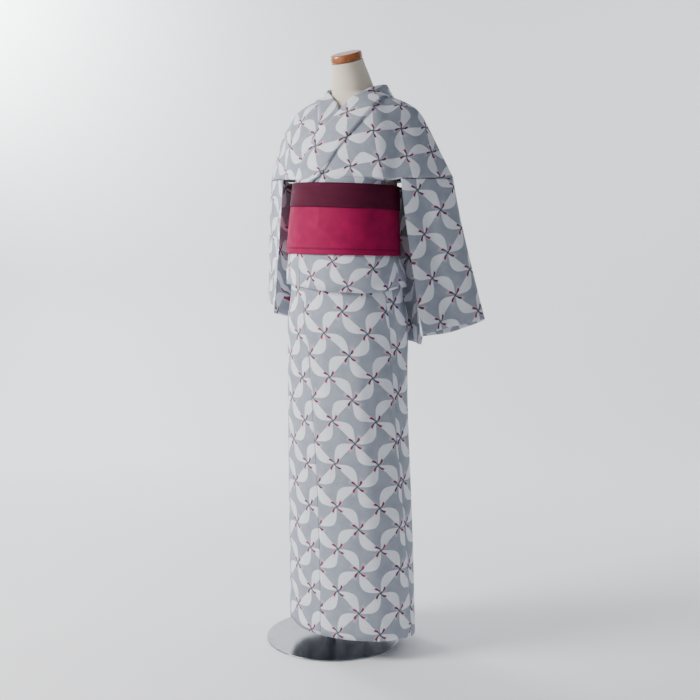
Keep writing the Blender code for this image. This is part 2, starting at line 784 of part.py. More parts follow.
def sewn_edge(stations, waist_seam, side):
    """Where a panel's front edge crosses each level, in lines towards its own side."""
    rows = [(level, side * wrapped(line, TURN)) for line, level, _, _ in stations]
    rows += [(level, side * line) for level, line in waist_seam]
    rows.sort()

    def edge(level):
        lap = COLLAR_LAP * (level > waist_seam[-1][0])
        return straight(rows, level) - lap

    return edge


def body_panel(name, side, edge, off, front_columns):
    columns = front_columns + ARM_COLUMNS + BACK_COLUMNS
    rows = len(UPPER_LEVELS) - 1
    levels = np.array(UPPER_LEVELS)
    back_edge = BACK_SEAM - SEAM / 2 / BACK_LINE
    first_edge = edge(0.0)
    front_share = (ARM_FRONT - first_edge) / (back_edge - first_edge)
    arm_share = (ARM_BACK - first_edge) / (back_edge - first_edge)

    def place(across, up):
        level = levels[np.rint(up * rows).astype(int)]
        start = edge(level)
        chest = level >= 0.0
        front = np.where(chest, start + front_share * (back_edge - start), ARM_FRONT)
        back = np.where(chest, start + arm_share * (back_edge - start), ARM_BACK)
        step = across * columns
        past_front = np.clip((step - front_columns) / ARM_COLUMNS, 0.0, 1.0)
        past_arm = np.clip((step - front_columns - ARM_COLUMNS) / BACK_COLUMNS, 0.0, 1.0)
        line = start + np.minimum(step / front_columns, 1.0) * (front - start)
        line = line + past_front * (back - front) + past_arm * (back_edge - back)
        return upper_point(side * line, level, off(side * line, level))

    def keep(across, up):
        step = across * columns
        under_arm = front_columns < step < front_columns + ARM_COLUMNS
        return up * rows > len(WAIST_ROWS) or not under_arm

    mesh = carried_grid(columns, rows, place, keep, flip=side < 0)
    wall(name, mesh, CLOTH, COTTON)


def waist_overlap(name, side, seam, free_edge, out, columns):
    """The overlap panel's short stretch in the fold-over, ending in a point under the belt."""
    rows = len(OVERLAP_LEVELS) - 1
    levels = np.array(OVERLAP_LEVELS)

    def place(across, up):
        level = levels[np.rint(up * rows).astype(int)]
        free = straight(free_edge, level)
        sewn = straight(seam, level) + side * -SEAM / FRONT_LINE
        return upper_point(free + across * (sewn - free), level, out)

    wall(name, carried_grid(columns, rows, place, flip=side < 0), CLOTH, COTTON)


left_edge = sewn_edge(LEFT_STATIONS, LEFT_WAIST_SEAM, 1)
right_edge = sewn_edge(RIGHT_STATIONS, RIGHT_WAIST_SEAM, -1)
body_panel("body_left_over", 1, left_edge, over_off, 14)
body_panel("body_right_under", -1, right_edge, body_off, 16)
waist_overlap("waist_overlap_left", 1, LEFT_WAIST_SEAM, LEFT_OVERLAP_EDGE, OVER_CHEST, 6)
waist_overlap("waist_overlap_right", -1, RIGHT_WAIST_SEAM, RIGHT_OVERLAP_EDGE, 0.0, 5)


# Collar: one long band over the edges of both sides and round the neck

def collar_place(across, up):
    stations = np.array(COLLAR)
    knots = np.arange(len(stations))[:, None]
    edges = through(np.hstack([knots, stations]), across * (len(stations) - 1))
    line = edges[:, 0] + up * (edges[:, 2] - edges[:, 0])
    level = edges[:, 1] + up * (edges[:, 3] - edges[:, 1])
    left_end = across < 0.5
    out = np.where(left_end, over_off(edges[:, 0], edges[:, 1]), 0.0) + COLLAR_OVER
    return upper_point(line, level, out)


wall("collar_band", carried_grid(COLLAR_STEPS, COLLAR_ROWS, collar_place), COLLAR_CLOTH, COTTON)


# Sleeves: closed tubes hanging flat, open at the arm and at the cuff

def sleeve(name, side, cuff):
    cuff_table = np.hstack([np.array(CUFF_STEPS)[:, None], np.array(cuff)])

    def place(across, up):
        step = across * SLEEVE_AROUND
        over_arm = np.minimum(step / ARM_COLUMNS, 1.0)
        line = side * (ARM_FRONT + over_arm * (ARM_BACK - ARM_FRONT))
        top = chest_point(line, 0.0, 0.0) - np.array([0.0, 0.0, SLEEVE_SEAM])
        ends = chest_point(side * np.array([ARM_BACK, ARM_FRONT]), 0.0, 0.0)
        ends = ends - np.array([0.0, 0.0, SLEEVE_SEAM])
        inner = np.array(SLEEVE_INNER_EDGE) * (1, side, 1, 1) + (0, AXIS_SIDE, 0, 0)
        inner = np.vstack([(ARM_COLUMNS, *ends[0]), inner, (SLEEVE_AROUND, *ends[1])])
        past_arm = step > ARM_COLUMNS
        top[past_arm] = through(inner, step[past_arm])
        low = through(cuff_table, step) + (AXIS_SIDE, 0, 0)
        down = 1.0 - up
        middle = top + (down**SLEEVE_FLARE)[:, None] * (low - top)
        drop = down * (low[:, 2] - top[:, 2])
        middle[:, 2] = top[:, 2] + drop
        centre = np.array([AXIS_SIDE + side * SLEEVE_MIDDLE[0], SLEEVE_MIDDLE[1]])
        away = middle[:, :2] - centre
        away /= np.linalg.norm(away, axis=1, keepdims=True)
        raised = np.zeros_like(step)
        for top_step, cuff_step, ridge, half_width in SLEEVE_FOLDS:
            at = top_step + down * (cuff_step - top_step)
            off = wrapped(step - at, SLEEVE_AROUND)
            raised += ridge * soft_step(*SLEEVE_FOLDS_START, down) * np.exp(-((off / half_width) ** 2))
        middle[:, :2] += raised[:, None] * away
        return middle

    mesh = carried_grid(SLEEVE_AROUND, SLEEVE_ROWS, place, closed=True, flip=side < 0)
    wall(name, mesh, CLOTH, COTTON)


sleeve("sleeve_left", 1, LEFT_CUFF)
sleeve("sleeve_right", -1, RIGHT_CUFF)


# Belt: the wrap, its upper edge turned over to the outside, and the bow behind

def obi_off(angle):
    """The belt lies further out in front, over the collar and both fronts."""
    return OBI_BACK + (OBI_FRONT - OBI_BACK) * soft_step(*OBI_FRONT_REACH, np.abs(angle))


def obi_bottom(angle):
    return OBI_BOTTOM - OBI_RISE * np.sin(np.radians(angle))


def obi_top(angle):
    return OBI_BOTTOM + OBI_HEIGHT - OBI_TRIM - OBI_TOP_RISE * np.sin(np.radians(angle))


def obi_place(across, up):
    angle = (across * 360.0 + 180.0) % 360.0 - 180.0
    low = obi_bottom(angle)
    height = low + up * (obi_top(angle) - low)
    return section_point(WAIST_SECTIONS, angle, height, obi_off(angle))


def turned_place(across, up):
    angle = (across * 360.0 + 180.0) % 360.0 - 180.0
    height = obi_top(angle) - TURNED_HEIGHT + up * (TURNED_HEIGHT + TURNED_UP)
    return section_point(WAIST_SECTIONS, angle, height, obi_off(angle) + OBI_CLOTH + SEAM)


wall("obi_wrap", carried_grid(48, 3, obi_place, closed=True), OBI_CLOTH, CRIMSON)
wall("obi_turned_edge", carried_grid(48, 1, turned_place, closed=True), TURNED_CLOTH, MAROON)

obi_back = section_point(WAIST_SECTIONS, 180.0, KNOT_MIDDLE, OBI_BACK + OBI_CLOTH)[1]
knot_aft = obi_back + SEAM + KNOT_HALF_DEPTH


def knot_place(across, up):
    turn = across * 2 * math.pi
    depth = KNOT_HALF_DEPTH - OBI_CLOTH
    height = KNOT_HALF_HEIGHT - OBI_CLOTH
    belly = 1.0 - KNOT_BELLY * np.abs(2 * up - 1) ** 2
    x = AXIS_SIDE + (up - 0.5) * KNOT_WIDTH
    y = knot_aft + depth * belly * np.cos(turn)
    z = KNOT_MIDDLE + height * belly * np.sin(turn)
    return np.stack([x, y, z], axis=-1)


wall("obi_knot", carried_grid(20, 3, knot_place, closed=True), OBI_CLOTH, CRIMSON)


def wing(name, side):
    def place(across, up):
        path = through(WING_PATH, across)
        x = AXIS_SIDE + side * path[:, 0]
        y = knot_aft + path[:, 1]
        z = KNOT_MIDDLE - WING_DROOP * path[:, 0] ** 2 + (2 * up - 1) * path[:, 2]
        return np.stack([x, y, z], axis=-1)

    mesh = carried_grid(22, 3, place, flip=side < 0)
    wall(name, mesh, WING_CLOTH, CRIMSON)


wing("bow_wing_left", 1)
wing("bow_wing_right", -1)
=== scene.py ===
"""The looks of a cotton yukata worn by a limbless dress form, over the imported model's frame.

Metres, +Z up, the garment faces -Y. Each section makes one piece, or a group of like pieces, in
the order in which the form is set up and dressed.
"""

import math

import bmesh
import bpy
import numpy as np
from mathutils import Matrix


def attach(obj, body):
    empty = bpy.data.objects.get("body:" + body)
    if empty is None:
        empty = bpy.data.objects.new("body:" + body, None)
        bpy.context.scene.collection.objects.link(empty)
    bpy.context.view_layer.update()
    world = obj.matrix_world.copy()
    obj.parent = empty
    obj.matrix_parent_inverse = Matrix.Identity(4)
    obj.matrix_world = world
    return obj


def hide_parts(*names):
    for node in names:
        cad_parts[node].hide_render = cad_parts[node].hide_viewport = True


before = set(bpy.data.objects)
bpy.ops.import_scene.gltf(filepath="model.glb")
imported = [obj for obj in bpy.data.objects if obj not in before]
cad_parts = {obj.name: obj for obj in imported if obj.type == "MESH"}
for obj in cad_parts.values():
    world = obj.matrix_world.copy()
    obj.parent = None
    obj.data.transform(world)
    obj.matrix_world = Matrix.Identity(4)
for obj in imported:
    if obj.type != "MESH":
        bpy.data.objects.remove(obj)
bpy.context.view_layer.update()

# Photographer's side: a 50 mm lens at chest height, a little to the wearer's left, a pale paper
# roll for floor and backdrop, and one large soft window-like light from the viewer's left.
LENS = 50.25
CAMERA_PLACE = (1.3509, -2.0802, 0.966)
CAMERA_ROUND = math.radians(32.0)
CAMERA_DOWN = math.radians(5.0)

camera = bpy.data.objects.new("camera", bpy.data.cameras.new("camera"))
camera.data.lens = LENS
camera.location = CAMERA_PLACE
camera.rotation_euler = (math.radians(90.0) - CAMERA_DOWN, 0.0, CAMERA_ROUND)
bpy.context.scene.collection.objects.link(camera)
bpy.context.scene.camera = camera


def soft_light(name, place, aim, size, power, colour):
    lamp = bpy.data.lights.new(name, "AREA")
    lamp.shape = "DISK"
    lamp.size = size
    lamp.energy = power
    lamp.color = colour
    holder = bpy.data.objects.new(name, lamp)
    holder.location = place
    away = np.array(place) - np.array(aim)
    turn = math.atan2(away[0], -away[1])
    tilt = math.atan2(math.hypot(away[0], away[1]), away[2])
    holder.rotation_euler = (tilt, 0.0, turn)
    bpy.context.scene.collection.objects.link(holder)


soft_light("window", (-1.75, -2.05, 2.05), (0.05, 0.0, 0.85), 1.3, 128.0, (1.0, 0.985, 0.97))
soft_light("front_fill", (0.9, -3.3, 1.7), (0.05, 0.0, 0.8), 2.4, 7.0, (0.93, 0.96, 1.0))
soft_light("backdrop_left", (-3.2, 1.0, 2.6), (-1.6, 3.2, 1.0), 1.6, 110.0, (0.96, 0.98, 1.0))
soft_light("backdrop_right", (1.8, 1.6, 2.6), (0.4, 3.9, 1.2), 1.6, 70.0, (0.98, 0.99, 1.0))

world = bpy.data.worlds.new("studio_air")
world.use_nodes = True
world.node_tree.nodes["Background"].inputs["Color"].default_value = (0.86, 0.90, 1.0, 1.0)
world.node_tree.nodes["Background"].inputs["Strength"].default_value = 0.30
bpy.context.scene.world = world

PAPER_WIDTH = 14.0
PAPER_BACK = 3.2
PAPER_HEIGHT = 4.5
PAPER_BEND = 0.9

roll = bmesh.new()
line = [roll.verts.new((0.0, -7.0, 0.0)), roll.verts.new((0.0, PAPER_BACK - PAPER_BEND, 0.0))]
for part in np.linspace(0.0, math.pi / 2, 17)[1:]:
    y = PAPER_BACK - PAPER_BEND + PAPER_BEND * math.sin(part)
    line.append(roll.verts.new((0.0, y, PAPER_BEND * (1 - math.cos(part)))))
line.append(roll.verts.new((0.0, PAPER_BACK, PAPER_HEIGHT)))
edges = [roll.edges.new(pair) for pair in zip(line, line[1:])]
wide = bmesh.ops.extrude_edge_only(roll, edges=edges)["geom"]
moved = [item for item in wide if isinstance(item, bmesh.types.BMVert)]
bmesh.ops.translate(roll, verts=moved, vec=(PAPER_WIDTH, 0.0, 0.0))
bmesh.ops.translate(roll, verts=roll.verts, vec=(-PAPER_WIDTH / 2, 0.0, 0.0))
bmesh.ops.rotate(roll, verts=roll.verts, matrix=Matrix.Rotation(CAMERA_ROUND, 3, "Z"))
roll_mesh = bpy.data.meshes.new("paper_roll")
roll.to_mesh(roll_mesh)
roll.free()
roll_mesh.shade_smooth()
paper = bpy.data.objects.new("paper_roll", roll_mesh)
bpy.context.scene.collection.objects.link(paper)
paper_look = bpy.data.materials.new("paper")
paper_look.use_nodes = True
paper_look.node_tree.nodes["Principled BSDF"].inputs["Base Color"].default_value = (0.95, 0.955, 0.975, 1)
paper_look.node_tree.nodes["Principled BSDF"].inputs["Roughness"].default_value = 0.8
roll_mesh.materials.append(paper_look)


# Steel foot: one round plate of polished steel, 346 mm across, with fine grinding that runs round
# it and a few marks from use. The pole's socket is screwed to it, and the chromed pole stands in it.
class Wire:
    """One output of a material's node, so that shader sums are written as plain expressions."""

    def __init__(self, paint, socket):
        self.paint = paint
        self.socket = socket

    def sum(self, operation, *others):
        values = dict(enumerate((self, *others)))
        return self.paint.add("Math", values, operation=operation)

    def __add__(self, other):
        return self.sum("ADD", other)

    def __sub__(self, other):
        return self.sum("SUBTRACT", other)

    def __mul__(self, other):
        return self.sum("MULTIPLY", other)

    def __truediv__(self, other):
        return self.sum("DIVIDE", other)

    def __rsub__(self, other):
        return self.paint.add("Math", {0: other, 1: self}, operation="SUBTRACT")

    __radd__ = __add__
    __rmul__ = __mul__

    def part(self, name):
        return Wire(self.paint, self.socket.node.outputs[name])

    def step(self, low, high):
        """A soft step: 0 up to low and 1 from high on, or the other way round if low is more."""
        return self.paint.add(
            "MapRange", {"Value": self, "From Min": low, "From Max": high}, interpolation_type="SMOOTHSTEP"
        )


class Paint:
    """A material on a Principled shader, with one method for any other node."""

    def __init__(self, name, roughness=0.5, metallic=0.0):
        self.look = bpy.data.materials.new(name)
        self.look.use_nodes = True
        self.tree = self.look.node_tree
        self.shader = self.tree.nodes["Principled BSDF"]
        self.shader.inputs["Roughness"].default_value = roughness
        self.shader.inputs["Metallic"].default_value = metallic

    def add(self, kind, values=None, **settings):
        node = self.tree.nodes.new("ShaderNode" + kind)
        for name, value in settings.items():
            setattr(node, name, value)
        for name, value in (values or {}).items():
            self.feed(node.inputs[name], value)
        shown = [output for output in node.outputs if output.enabled]
        return Wire(self, shown[0])

    def feed(self, socket, value):
        if isinstance(value, Wire):
            self.tree.links.new(value.socket, socket)
        elif socket.type == "RGBA":
            socket.default_value = (*value, 1.0)
        else:
            socket.default_value = value

    def mix(self, share, first, second):
        """Colour between two colours or wires."""
        node = self.tree.nodes.new("ShaderNodeMix")
        node.data_type = "RGBA"
        for name, value in (("Factor_Float", share), ("A_Color", first), ("B_Color", second)):
            socket = next(one for one in node.inputs if one.identifier == name)
            self.feed(socket, value)
        return Wire(self, next(one for one in node.outputs if one.identifier == "Result_Color"))

    def show(self, **sockets):
        """Feeds the shader: base_color, roughness and the like by their names."""
        for name, value in sockets.items():
            self.feed(self.shader.inputs[name.replace("_", " ").title()], value)

    def bump(self, height, distance, strength=1.0):
        normal = self.add("Bump", {"Height": height, "Distance": distance, "Strength": strength})
        self.feed(self.shader.inputs["Normal"], normal)


STEEL = (0.40, 0.415, 0.44)
STEEL_MARKED = (0.31, 0.32, 0.345)

steel = Paint("foot_steel_ground", metallic=1.0)
place = steel.add("TexCoord").part("Object")
spread = steel.add("VectorMath", {0: place, 1: (1.0, 1.0, 0.0)}, operation="MULTIPLY")
out = steel.add("VectorMath", {0: spread}, operation="LENGTH").part("Value")
rings = steel.add("CombineXYZ", {"X": out * 900.0})
grinding = steel.add("TexNoise", {"Vector": rings, "Scale": 1.0, "Detail": 2.0})
marks = steel.add("TexNoise", {"Vector": place, "Scale": 22.0, "Detail": 6.0, "Roughness": 0.65})
steel.show(base_color=steel.mix(marks.step(0.45, 0.75), STEEL, STEEL_MARKED))
steel.show(roughness=0.13 + grinding * 0.10 + marks.step(0.5, 0.8) * 0.12)
steel.bump(grinding, 0.00004)
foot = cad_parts["foot_disc"]
foot.material_slots[0].material = steel.look

CHROME = (0.66, 0.67, 0.69)

chrome = Paint("pole_chrome_worn", metallic=1.0)
place = chrome.add("TexCoord").part("Object")
drawn = chrome.add("VectorMath", {0: place, 1: (260.0, 260.0, 9.0)}, operation="MULTIPLY")
drawing = chrome.add("TexNoise", {"Vector": drawn, "Scale": 1.0, "Detail": 3.0})
dust = chrome.add("TexNoise", {"Vector": place, "Scale": 60.0, "Detail": 5.0})
chrome.show(base_color=chrome.mix(dust.step(0.5, 0.8), CHROME, (0.52, 0.53, 0.55)))
chrome.show(roughness=0.06 + drawing * 0.06 + dust.step(0.5, 0.8) * 0.14)
chrome.bump(drawing, 0.00003)
for node in ("pole", "pole_socket"):
    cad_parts[node].material_slots[0].material = chrome.look


# Padded torso: a light shell with a leaning neck and no limbs, padded and pulled over with cream
# jersey. The jersey is gathered in fine rings just under the cap, and its knit runs up and down.
CLOTH = 0.0016  # one wall of the cotton
COLLAR_CLOTH = 0.0018
SEAM = 0.0004  # between pieces that are sewn to each other
LAYER = 0.0006  # between pieces that lie on each other
COLLAR_LAYER = 0.0012  # the same where the collar bends over a panel's edge
OVER_SKIRT = CLOTH + LAYER
COLLAR_OVER = CLOTH + COLLAR_LAYER
OVER_CHEST = COLLAR_OVER + COLLAR_CLOTH + COLLAR_LAYER
OBI_FRONT = OVER_CHEST + COLLAR_OVER + COLLAR_CLOTH + LAYER
OBI_BACK = CLOTH + LAYER
AXIS_SIDE = 0.057  # the garment's axis stands to the wearer's left of the foot's centre
NECK_LEAN = math.radians(22.0)
FIT = 0.0016  # between the padded torso and the cloth that it fills
SHOULDER_FIT = 0.0021  # the same under the shoulders
TORSO_POINTS = 96
ROWS_PER_RING = 5
TORSO_MEASURE = (0.85, 0.86)  # round the torso and up it

# Level sections: height, half width, half depth, shift to the back and to the wearer's left
SKIRT_SECTIONS = (
    (0.030, 0.1677, 0.1337, 0.0020, 0.000), (0.180, 0.1660, 0.1320, 0.0000, 0.000),
    (0.410, 0.1622, 0.1290, -0.0095, 0.000), (0.630, 0.1570, 0.1249, -0.0187, 0.000),
    (0.780, 0.1560, 0.1240, -0.0198, 0.000), (0.840, 0.1546, 0.1230, -0.0205, 0.000),
    (0.880, 0.1462, 0.1159, -0.0225, 0.000), (0.930, 0.1422, 0.1126, -0.0235, -0.002),
    (1.010, 0.1310, 0.1038, -0.0240, -0.007),
)
WAIST_SECTIONS = (
    (0.880, 0.1512, 0.1209, -0.0225, 0.000), (0.940, 0.1511, 0.1205, -0.0240, 0.000),
    (0.990, 0.1402, 0.1122, -0.0240, -0.007), (1.050, 0.1358, 0.1088, -0.0235, -0.006),
    (1.110, 0.1316, 0.1054, -0.0215, -0.004), (1.165, 0.1278, 0.1024, -0.0200, -0.002),
    (1.190, 0.1278, 0.1024, -0.0200, -0.002),
)
TORSO_SECTIONS = (
    (0.620, 0.1080, 0.0820, -0.0180, 0.000), (0.632, 0.1280, 0.1000, -0.0180, 0.000),
    (0.680, 0.1390, 0.1090, -0.0190, 0.000), (0.800, 0.1410, 0.1100, -0.0200, 0.000),
    (0.940, 0.1380, 0.1085, -0.0240, -0.002), (1.215, 0.1370, 0.1040, -0.0100, 0.000),
    (1.250, 0.1440, 0.1035, -0.0040, 0.000), (1.285, 0.1470, 0.0980, 0.0040, 0.000),
    (1.318, 0.1450, 0.0885, 0.0100, 0.000),
)
TORSO_HIPS = (0.620, 0.632, 0.680, 0.800, 0.940)
TORSO_IN_SKIRT = (0.980, 1.010)
TORSO_IN_BELT = (1.045, 1.100, 1.140, 1.182)
TORSO_CHEST = (1.215, 1.250, 1.285, 1.318)
TORSO_SHOULDER_LEVELS = (3.5, 4.0, 4.35, 4.65, 4.95)
# Rings of the neck from the bottom up: height and fore-and-aft place of the middle, radius, share
# of the lean
NECK_RINGS = (
    (1.3840, 0.0080, 0.0555, 0.10), (1.4000, 0.0020, 0.0520, 0.35), (1.4220, -0.0070, 0.0466, 0.75),
    (1.4440, -0.0165, 0.0416, 1.00), (1.4590, -0.0228, 0.0392, 1.00),
)
# Lines up the chest, a row for each level: side, fore and aft, height, from the garment's axis
FRONT = (
    (0.000, -0.1240, 1.174), (0.000, -0.1235, 1.225), (0.000, -0.1130, 1.277),
    (0.000, -0.0900, 1.320), (0.000, -0.0690, 1.346), (0.000, -0.0560, 1.360),
    (0.000, -0.0500, 1.376),
)
BUST = (
    (0.081, -0.1035, 1.174), (0.085, -0.1085, 1.228), (0.080, -0.1020, 1.282),
    (0.070, -0.0810, 1.330), (0.057, -0.0570, 1.358), (0.046, -0.0440, 1.372),
    (0.040, -0.0360, 1.388),
)
ARMHOLE = (
    (0.172, -0.055, 1.168), (0.163, -0.060, 1.230), (0.150, -0.058, 1.292), (0.127, -0.047, 1.340),
    (0.098, -0.036, 1.361), (0.072, -0.020, 1.374), (0.057, -0.008, 1.396),
)
SHOULDER = (
    (0.249, 0.055, 1.172), (0.221, 0.040, 1.232), (0.195, 0.022, 1.290), (0.172, 0.010, 1.332),
    (0.130, 0.008, 1.358), (0.090, 0.018, 1.372), (0.062, 0.030, 1.402),
)
BLADE = (
    (0.150, 0.098, 1.172), (0.148, 0.100, 1.232), (0.140, 0.096, 1.290), (0.122, 0.086, 1.336),
    (0.096, 0.082, 1.360), (0.070, 0.080, 1.374), (0.050, 0.078, 1.410),
)
BACK = (
    (0.000, 0.092, 1.172), (0.000, 0.106, 1.232), (0.000, 0.114, 1.290), (0.000, 0.112, 1.333),
    (0.000, 0.107, 1.359), (0.000, 0.102, 1.374), (0.000, 0.106, 1.412),
)
RIGHT_SHOULDER = (
    (-0.262, 0.030, 1.184), (-0.240, 0.026, 1.237), (-0.2120, 0.016, 1.286), (-0.176, 0.008, 1.330),
    (-0.130, 0.008, 1.359), (-0.088, 0.018, 1.373), (-0.061, 0.030, 1.402),
)
RIGHT_ARMHOLE_LOW = (
    (-0.172, -0.055, 1.181), (-0.163, -0.060, 1.236),
)
RIGHT_BLADE_LOW = (
    (-0.150, 0.098, 1.181), (-0.150, 0.100, 1.236), (-0.142, 0.096, 1.290), (-0.123, 0.086, 1.336),
)
TURN = 10  # ten lines make a full turn, left side first
ARM_FRONT = 2.0  # lines where the side of the panel is open under the arm
ARM_BACK = 4.0
BACK_SEAM = 5.0
BACK_LINE = 0.15  # metres from one line to the next across the back
FRONT_LINE = 0.085  # the same in front
OVER_SIDE = (1.95, 1.5)  # lines between which the over side rises from the body onto the under one
OVER_SHOULDER = (4.6, 3.2)  # the same down from the shoulder, in levels
# Soft folds over the chest: line and level of each end, ridge, half its width in lines
CHEST_FOLDS = (
    (1.75, -0.2, 2.30, 2.4, -0.0040, 0.20), (2.15, -0.2, 2.62, 2.2, 0.0030, 0.20),
    (-1.75, -0.2, -2.30, 2.2, -0.0036, 0.20), (4.20, -0.2, 3.80, 2.4, -0.0040, 0.22),
    (-4.20, -0.2, -3.80, 2.2, -0.0036, 0.22),
)
CHEST_FOLD_STARTS = (-0.05, 0.25)  # shares of a fold's length over which it rises and fades
CHEST_FOLD_ENDS = (1.05, 0.55)
RUN_STEPS = 12  # straight steps that measure a run on the cloth
SHARP_ANGLE = math.radians(50.0)  # edges sharper than this stay crisp


def blend(start, end, leave, arrive, part):
    """Cubic between two values with the given slopes."""
    square = part * part
    cube = square * part
    return (
        (2 * cube - 3 * square + 1) * start
        + (cube - 2 * square + part) * leave
        + (3 * square - 2 * cube) * end
        + (cube - square) * arrive
    )


def through(rows, at):
    """The smooth curve through a table whose first column is the knots."""
    rows = np.asarray(rows, float)
    knots = rows[:, 0]
    values = rows[:, 1:]
    slopes = np.gradient(values, knots, axis=0)
    at = np.clip(np.asarray(at, float), knots[0], knots[-1])
    low = np.clip(np.searchsorted(knots, at, side="right") - 1, 0, len(knots) - 2)
    span = (knots[low + 1] - knots[low])[..., None]
    part = (at - knots[low])[..., None] / span
    return blend(values[low], values[low + 1], slopes[low] * span, slopes[low + 1] * span, part)


def straight(rows, at):
    """Straight steps through a table of two columns."""
    rows = np.asarray(rows, float)
    return np.interp(at, rows[:, 0], rows[:, 1])


def soft_step(low, high, at):
    part = np.clip((at - low) / (high - low), 0.0, 1.0)
    return part * part * (3 - 2 * part)


def wrapped(value, turn):
    """The same place on the round, counted from half a turn below nought to half a turn above."""
    return (value + turn / 2) % turn - turn / 2


def section_point(sections, angle, height, out):
    """A point outside a table of level sections: degrees from the front, height, distance out."""
    angle, height, out = np.broadcast_arrays(*(np.asarray(v, float) for v in (angle, height, out)))
    size = through(sections, height)
    half_width = size[..., 0]
    half_depth = size[..., 1]
    back = size[..., 2]
    aside = size[..., 3]
    side = np.sin(np.radians(angle))
    fore = np.cos(np.radians(angle))
    length = np.hypot(side / half_width, fore / half_depth)
    x = AXIS_SIDE + aside + half_width * side + out * side / half_width / length
    y = back - half_depth * fore - out * fore / half_depth / length
    return np.stack([x, y, height], axis=-1)


def mirrored(rows):
    """The same points on the wearer's right."""
    return tuple((-side, fore, height) for side, fore, height in rows)


RIGHT_BUST = mirrored(BUST)
RIGHT_ARMHOLE = RIGHT_ARMHOLE_LOW + mirrored(ARMHOLE[len(RIGHT_ARMHOLE_LOW) :])
RIGHT_BLADE = RIGHT_BLADE_LOW + mirrored(BLADE[len(RIGHT_BLADE_LOW) :])
CHEST = np.array(
    [FRONT, BUST, ARMHOLE, SHOULDER, BLADE, BACK, RIGHT_BLADE, RIGHT_SHOULDER, RIGHT_ARMHOLE, RIGHT_BUST]
)
CHEST_SLOPES = np.gradient(CHEST, axis=1)


def chest_bare(line, level):
    low = np.clip(np.floor(level).astype(int), 0, CHEST.shape[1] - 2)
    part = (level - low)[..., None]

    def at(index):
        index = index % TURN
        leave = CHEST_SLOPES[index, low]
        arrive = CHEST_SLOPES[index, low + 1]
        return blend(CHEST[index, low], CHEST[index, low + 1], leave, arrive, part)

    first = np.floor(line).astype(int)
    before, start, end, after = at(first - 1), at(first), at(first + 1), at(first + 2)
    share = (line - first)[..., None]
    return blend(start, end, (end - before) / 2, (after - start) / 2, share)


def chest_fold(line, level):
    """How far the soft folds over the chest raise it."""
    raised = np.zeros_like(level)
    for line_low, level_low, line_high, level_high, ridge, half_width in CHEST_FOLDS:
        part = (level - level_low) / (level_high - level_low)
        middle = line_low + part * (line_high - line_low)
        away = wrapped(line - middle, TURN)
        ends = soft_step(*CHEST_FOLD_STARTS, part) * soft_step(*CHEST_FOLD_ENDS, part)
        raised = raised + ridge * ends * np.exp(-((away / half_width) ** 2))
    return raised


def chest_point(line, level, out):
    """A point of the chest: how far round in lines, how far up in levels, distance out."""
    line, level, out = np.broadcast_arrays(*(np.asarray(v, float) for v in (line, level, out)))
    step = 1e-3
    round_it = chest_bare(line + step, level) - chest_bare(line - step, level)
    up_it = chest_bare(line, level + step) - chest_bare(line, level - step)
    normal = np.cross(round_it, up_it)
    normal /= np.linalg.norm(normal, axis=-1, keepdims=True)
    lift = (out + chest_fold(line, level))[..., None]
    return chest_bare(line, level) + lift * normal + np.array([AXIS_SIDE, 0.0, 0.0])


def run_along(place, across, up, start):
    """How far each point lies from the row's point at start, measured on the cloth."""
    across, up, start = np.broadcast_arrays(across, up, start)
    run = np.zeros_like(across)
    before = place(start, up)
    for part in np.linspace(0.0, 1.0, RUN_STEPS + 1)[1:]:
        here = place(start + part * (across - start), up)
        run += np.linalg.norm(here - before, axis=-1)
        before = here
    return run * np.sign(across - start)


def carried_grid(columns, rows, place, chart, keep=None, closed=False, flip=False):
    """A flat grid carried to its place. The UV map holds the cloth's own measure, in metres."""
    mesh = bmesh.new()
    bmesh.ops.create_grid(mesh, x_segments=columns, y_segments=rows, size=0.5)
    if keep is not None:
        spare = []
        for face in mesh.faces:
            middle = face.calc_center_median()
            if not keep(middle.x + 0.5, middle.y + 0.5):
                spare.append(face)
        bmesh.ops.delete(mesh, geom=spare, context="FACES")
    mesh.verts.index_update()
    flat = np.array([vert.co[:2] for vert in mesh.verts]) + 0.5
    measure = chart(flat[:, 0], flat[:, 1])
    cloth = mesh.loops.layers.uv.new("cloth")
    for face in mesh.faces:
        for loop in face.loops:
            loop[cloth].uv = measure[loop.vert.index]
    for vert, point in zip(mesh.verts, place(flat[:, 0], flat[:, 1])):
        vert.co = point
    if closed:
        bmesh.ops.remove_doubles(mesh, verts=mesh.verts, dist=1e-6)
    if flip:
        bmesh.ops.reverse_faces(mesh, faces=mesh.faces)
    return mesh


def show_piece(name, mesh, paint, slot, *nodes):
    """The finished mesh becomes a piece that stands for its CAD nodes."""
    data = bpy.data.meshes.new(name)
    mesh.to_mesh(data)
    mesh.free()
    data.shade_smooth()
    data.set_sharp_from_angle(angle=SHARP_ANGLE)
    data.materials.append(paint.look)
    made = bpy.data.objects.new(name, data)
    bpy.context.scene.collection.objects.link(made)
    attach(made, "root")
    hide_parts(*nodes)
    return made


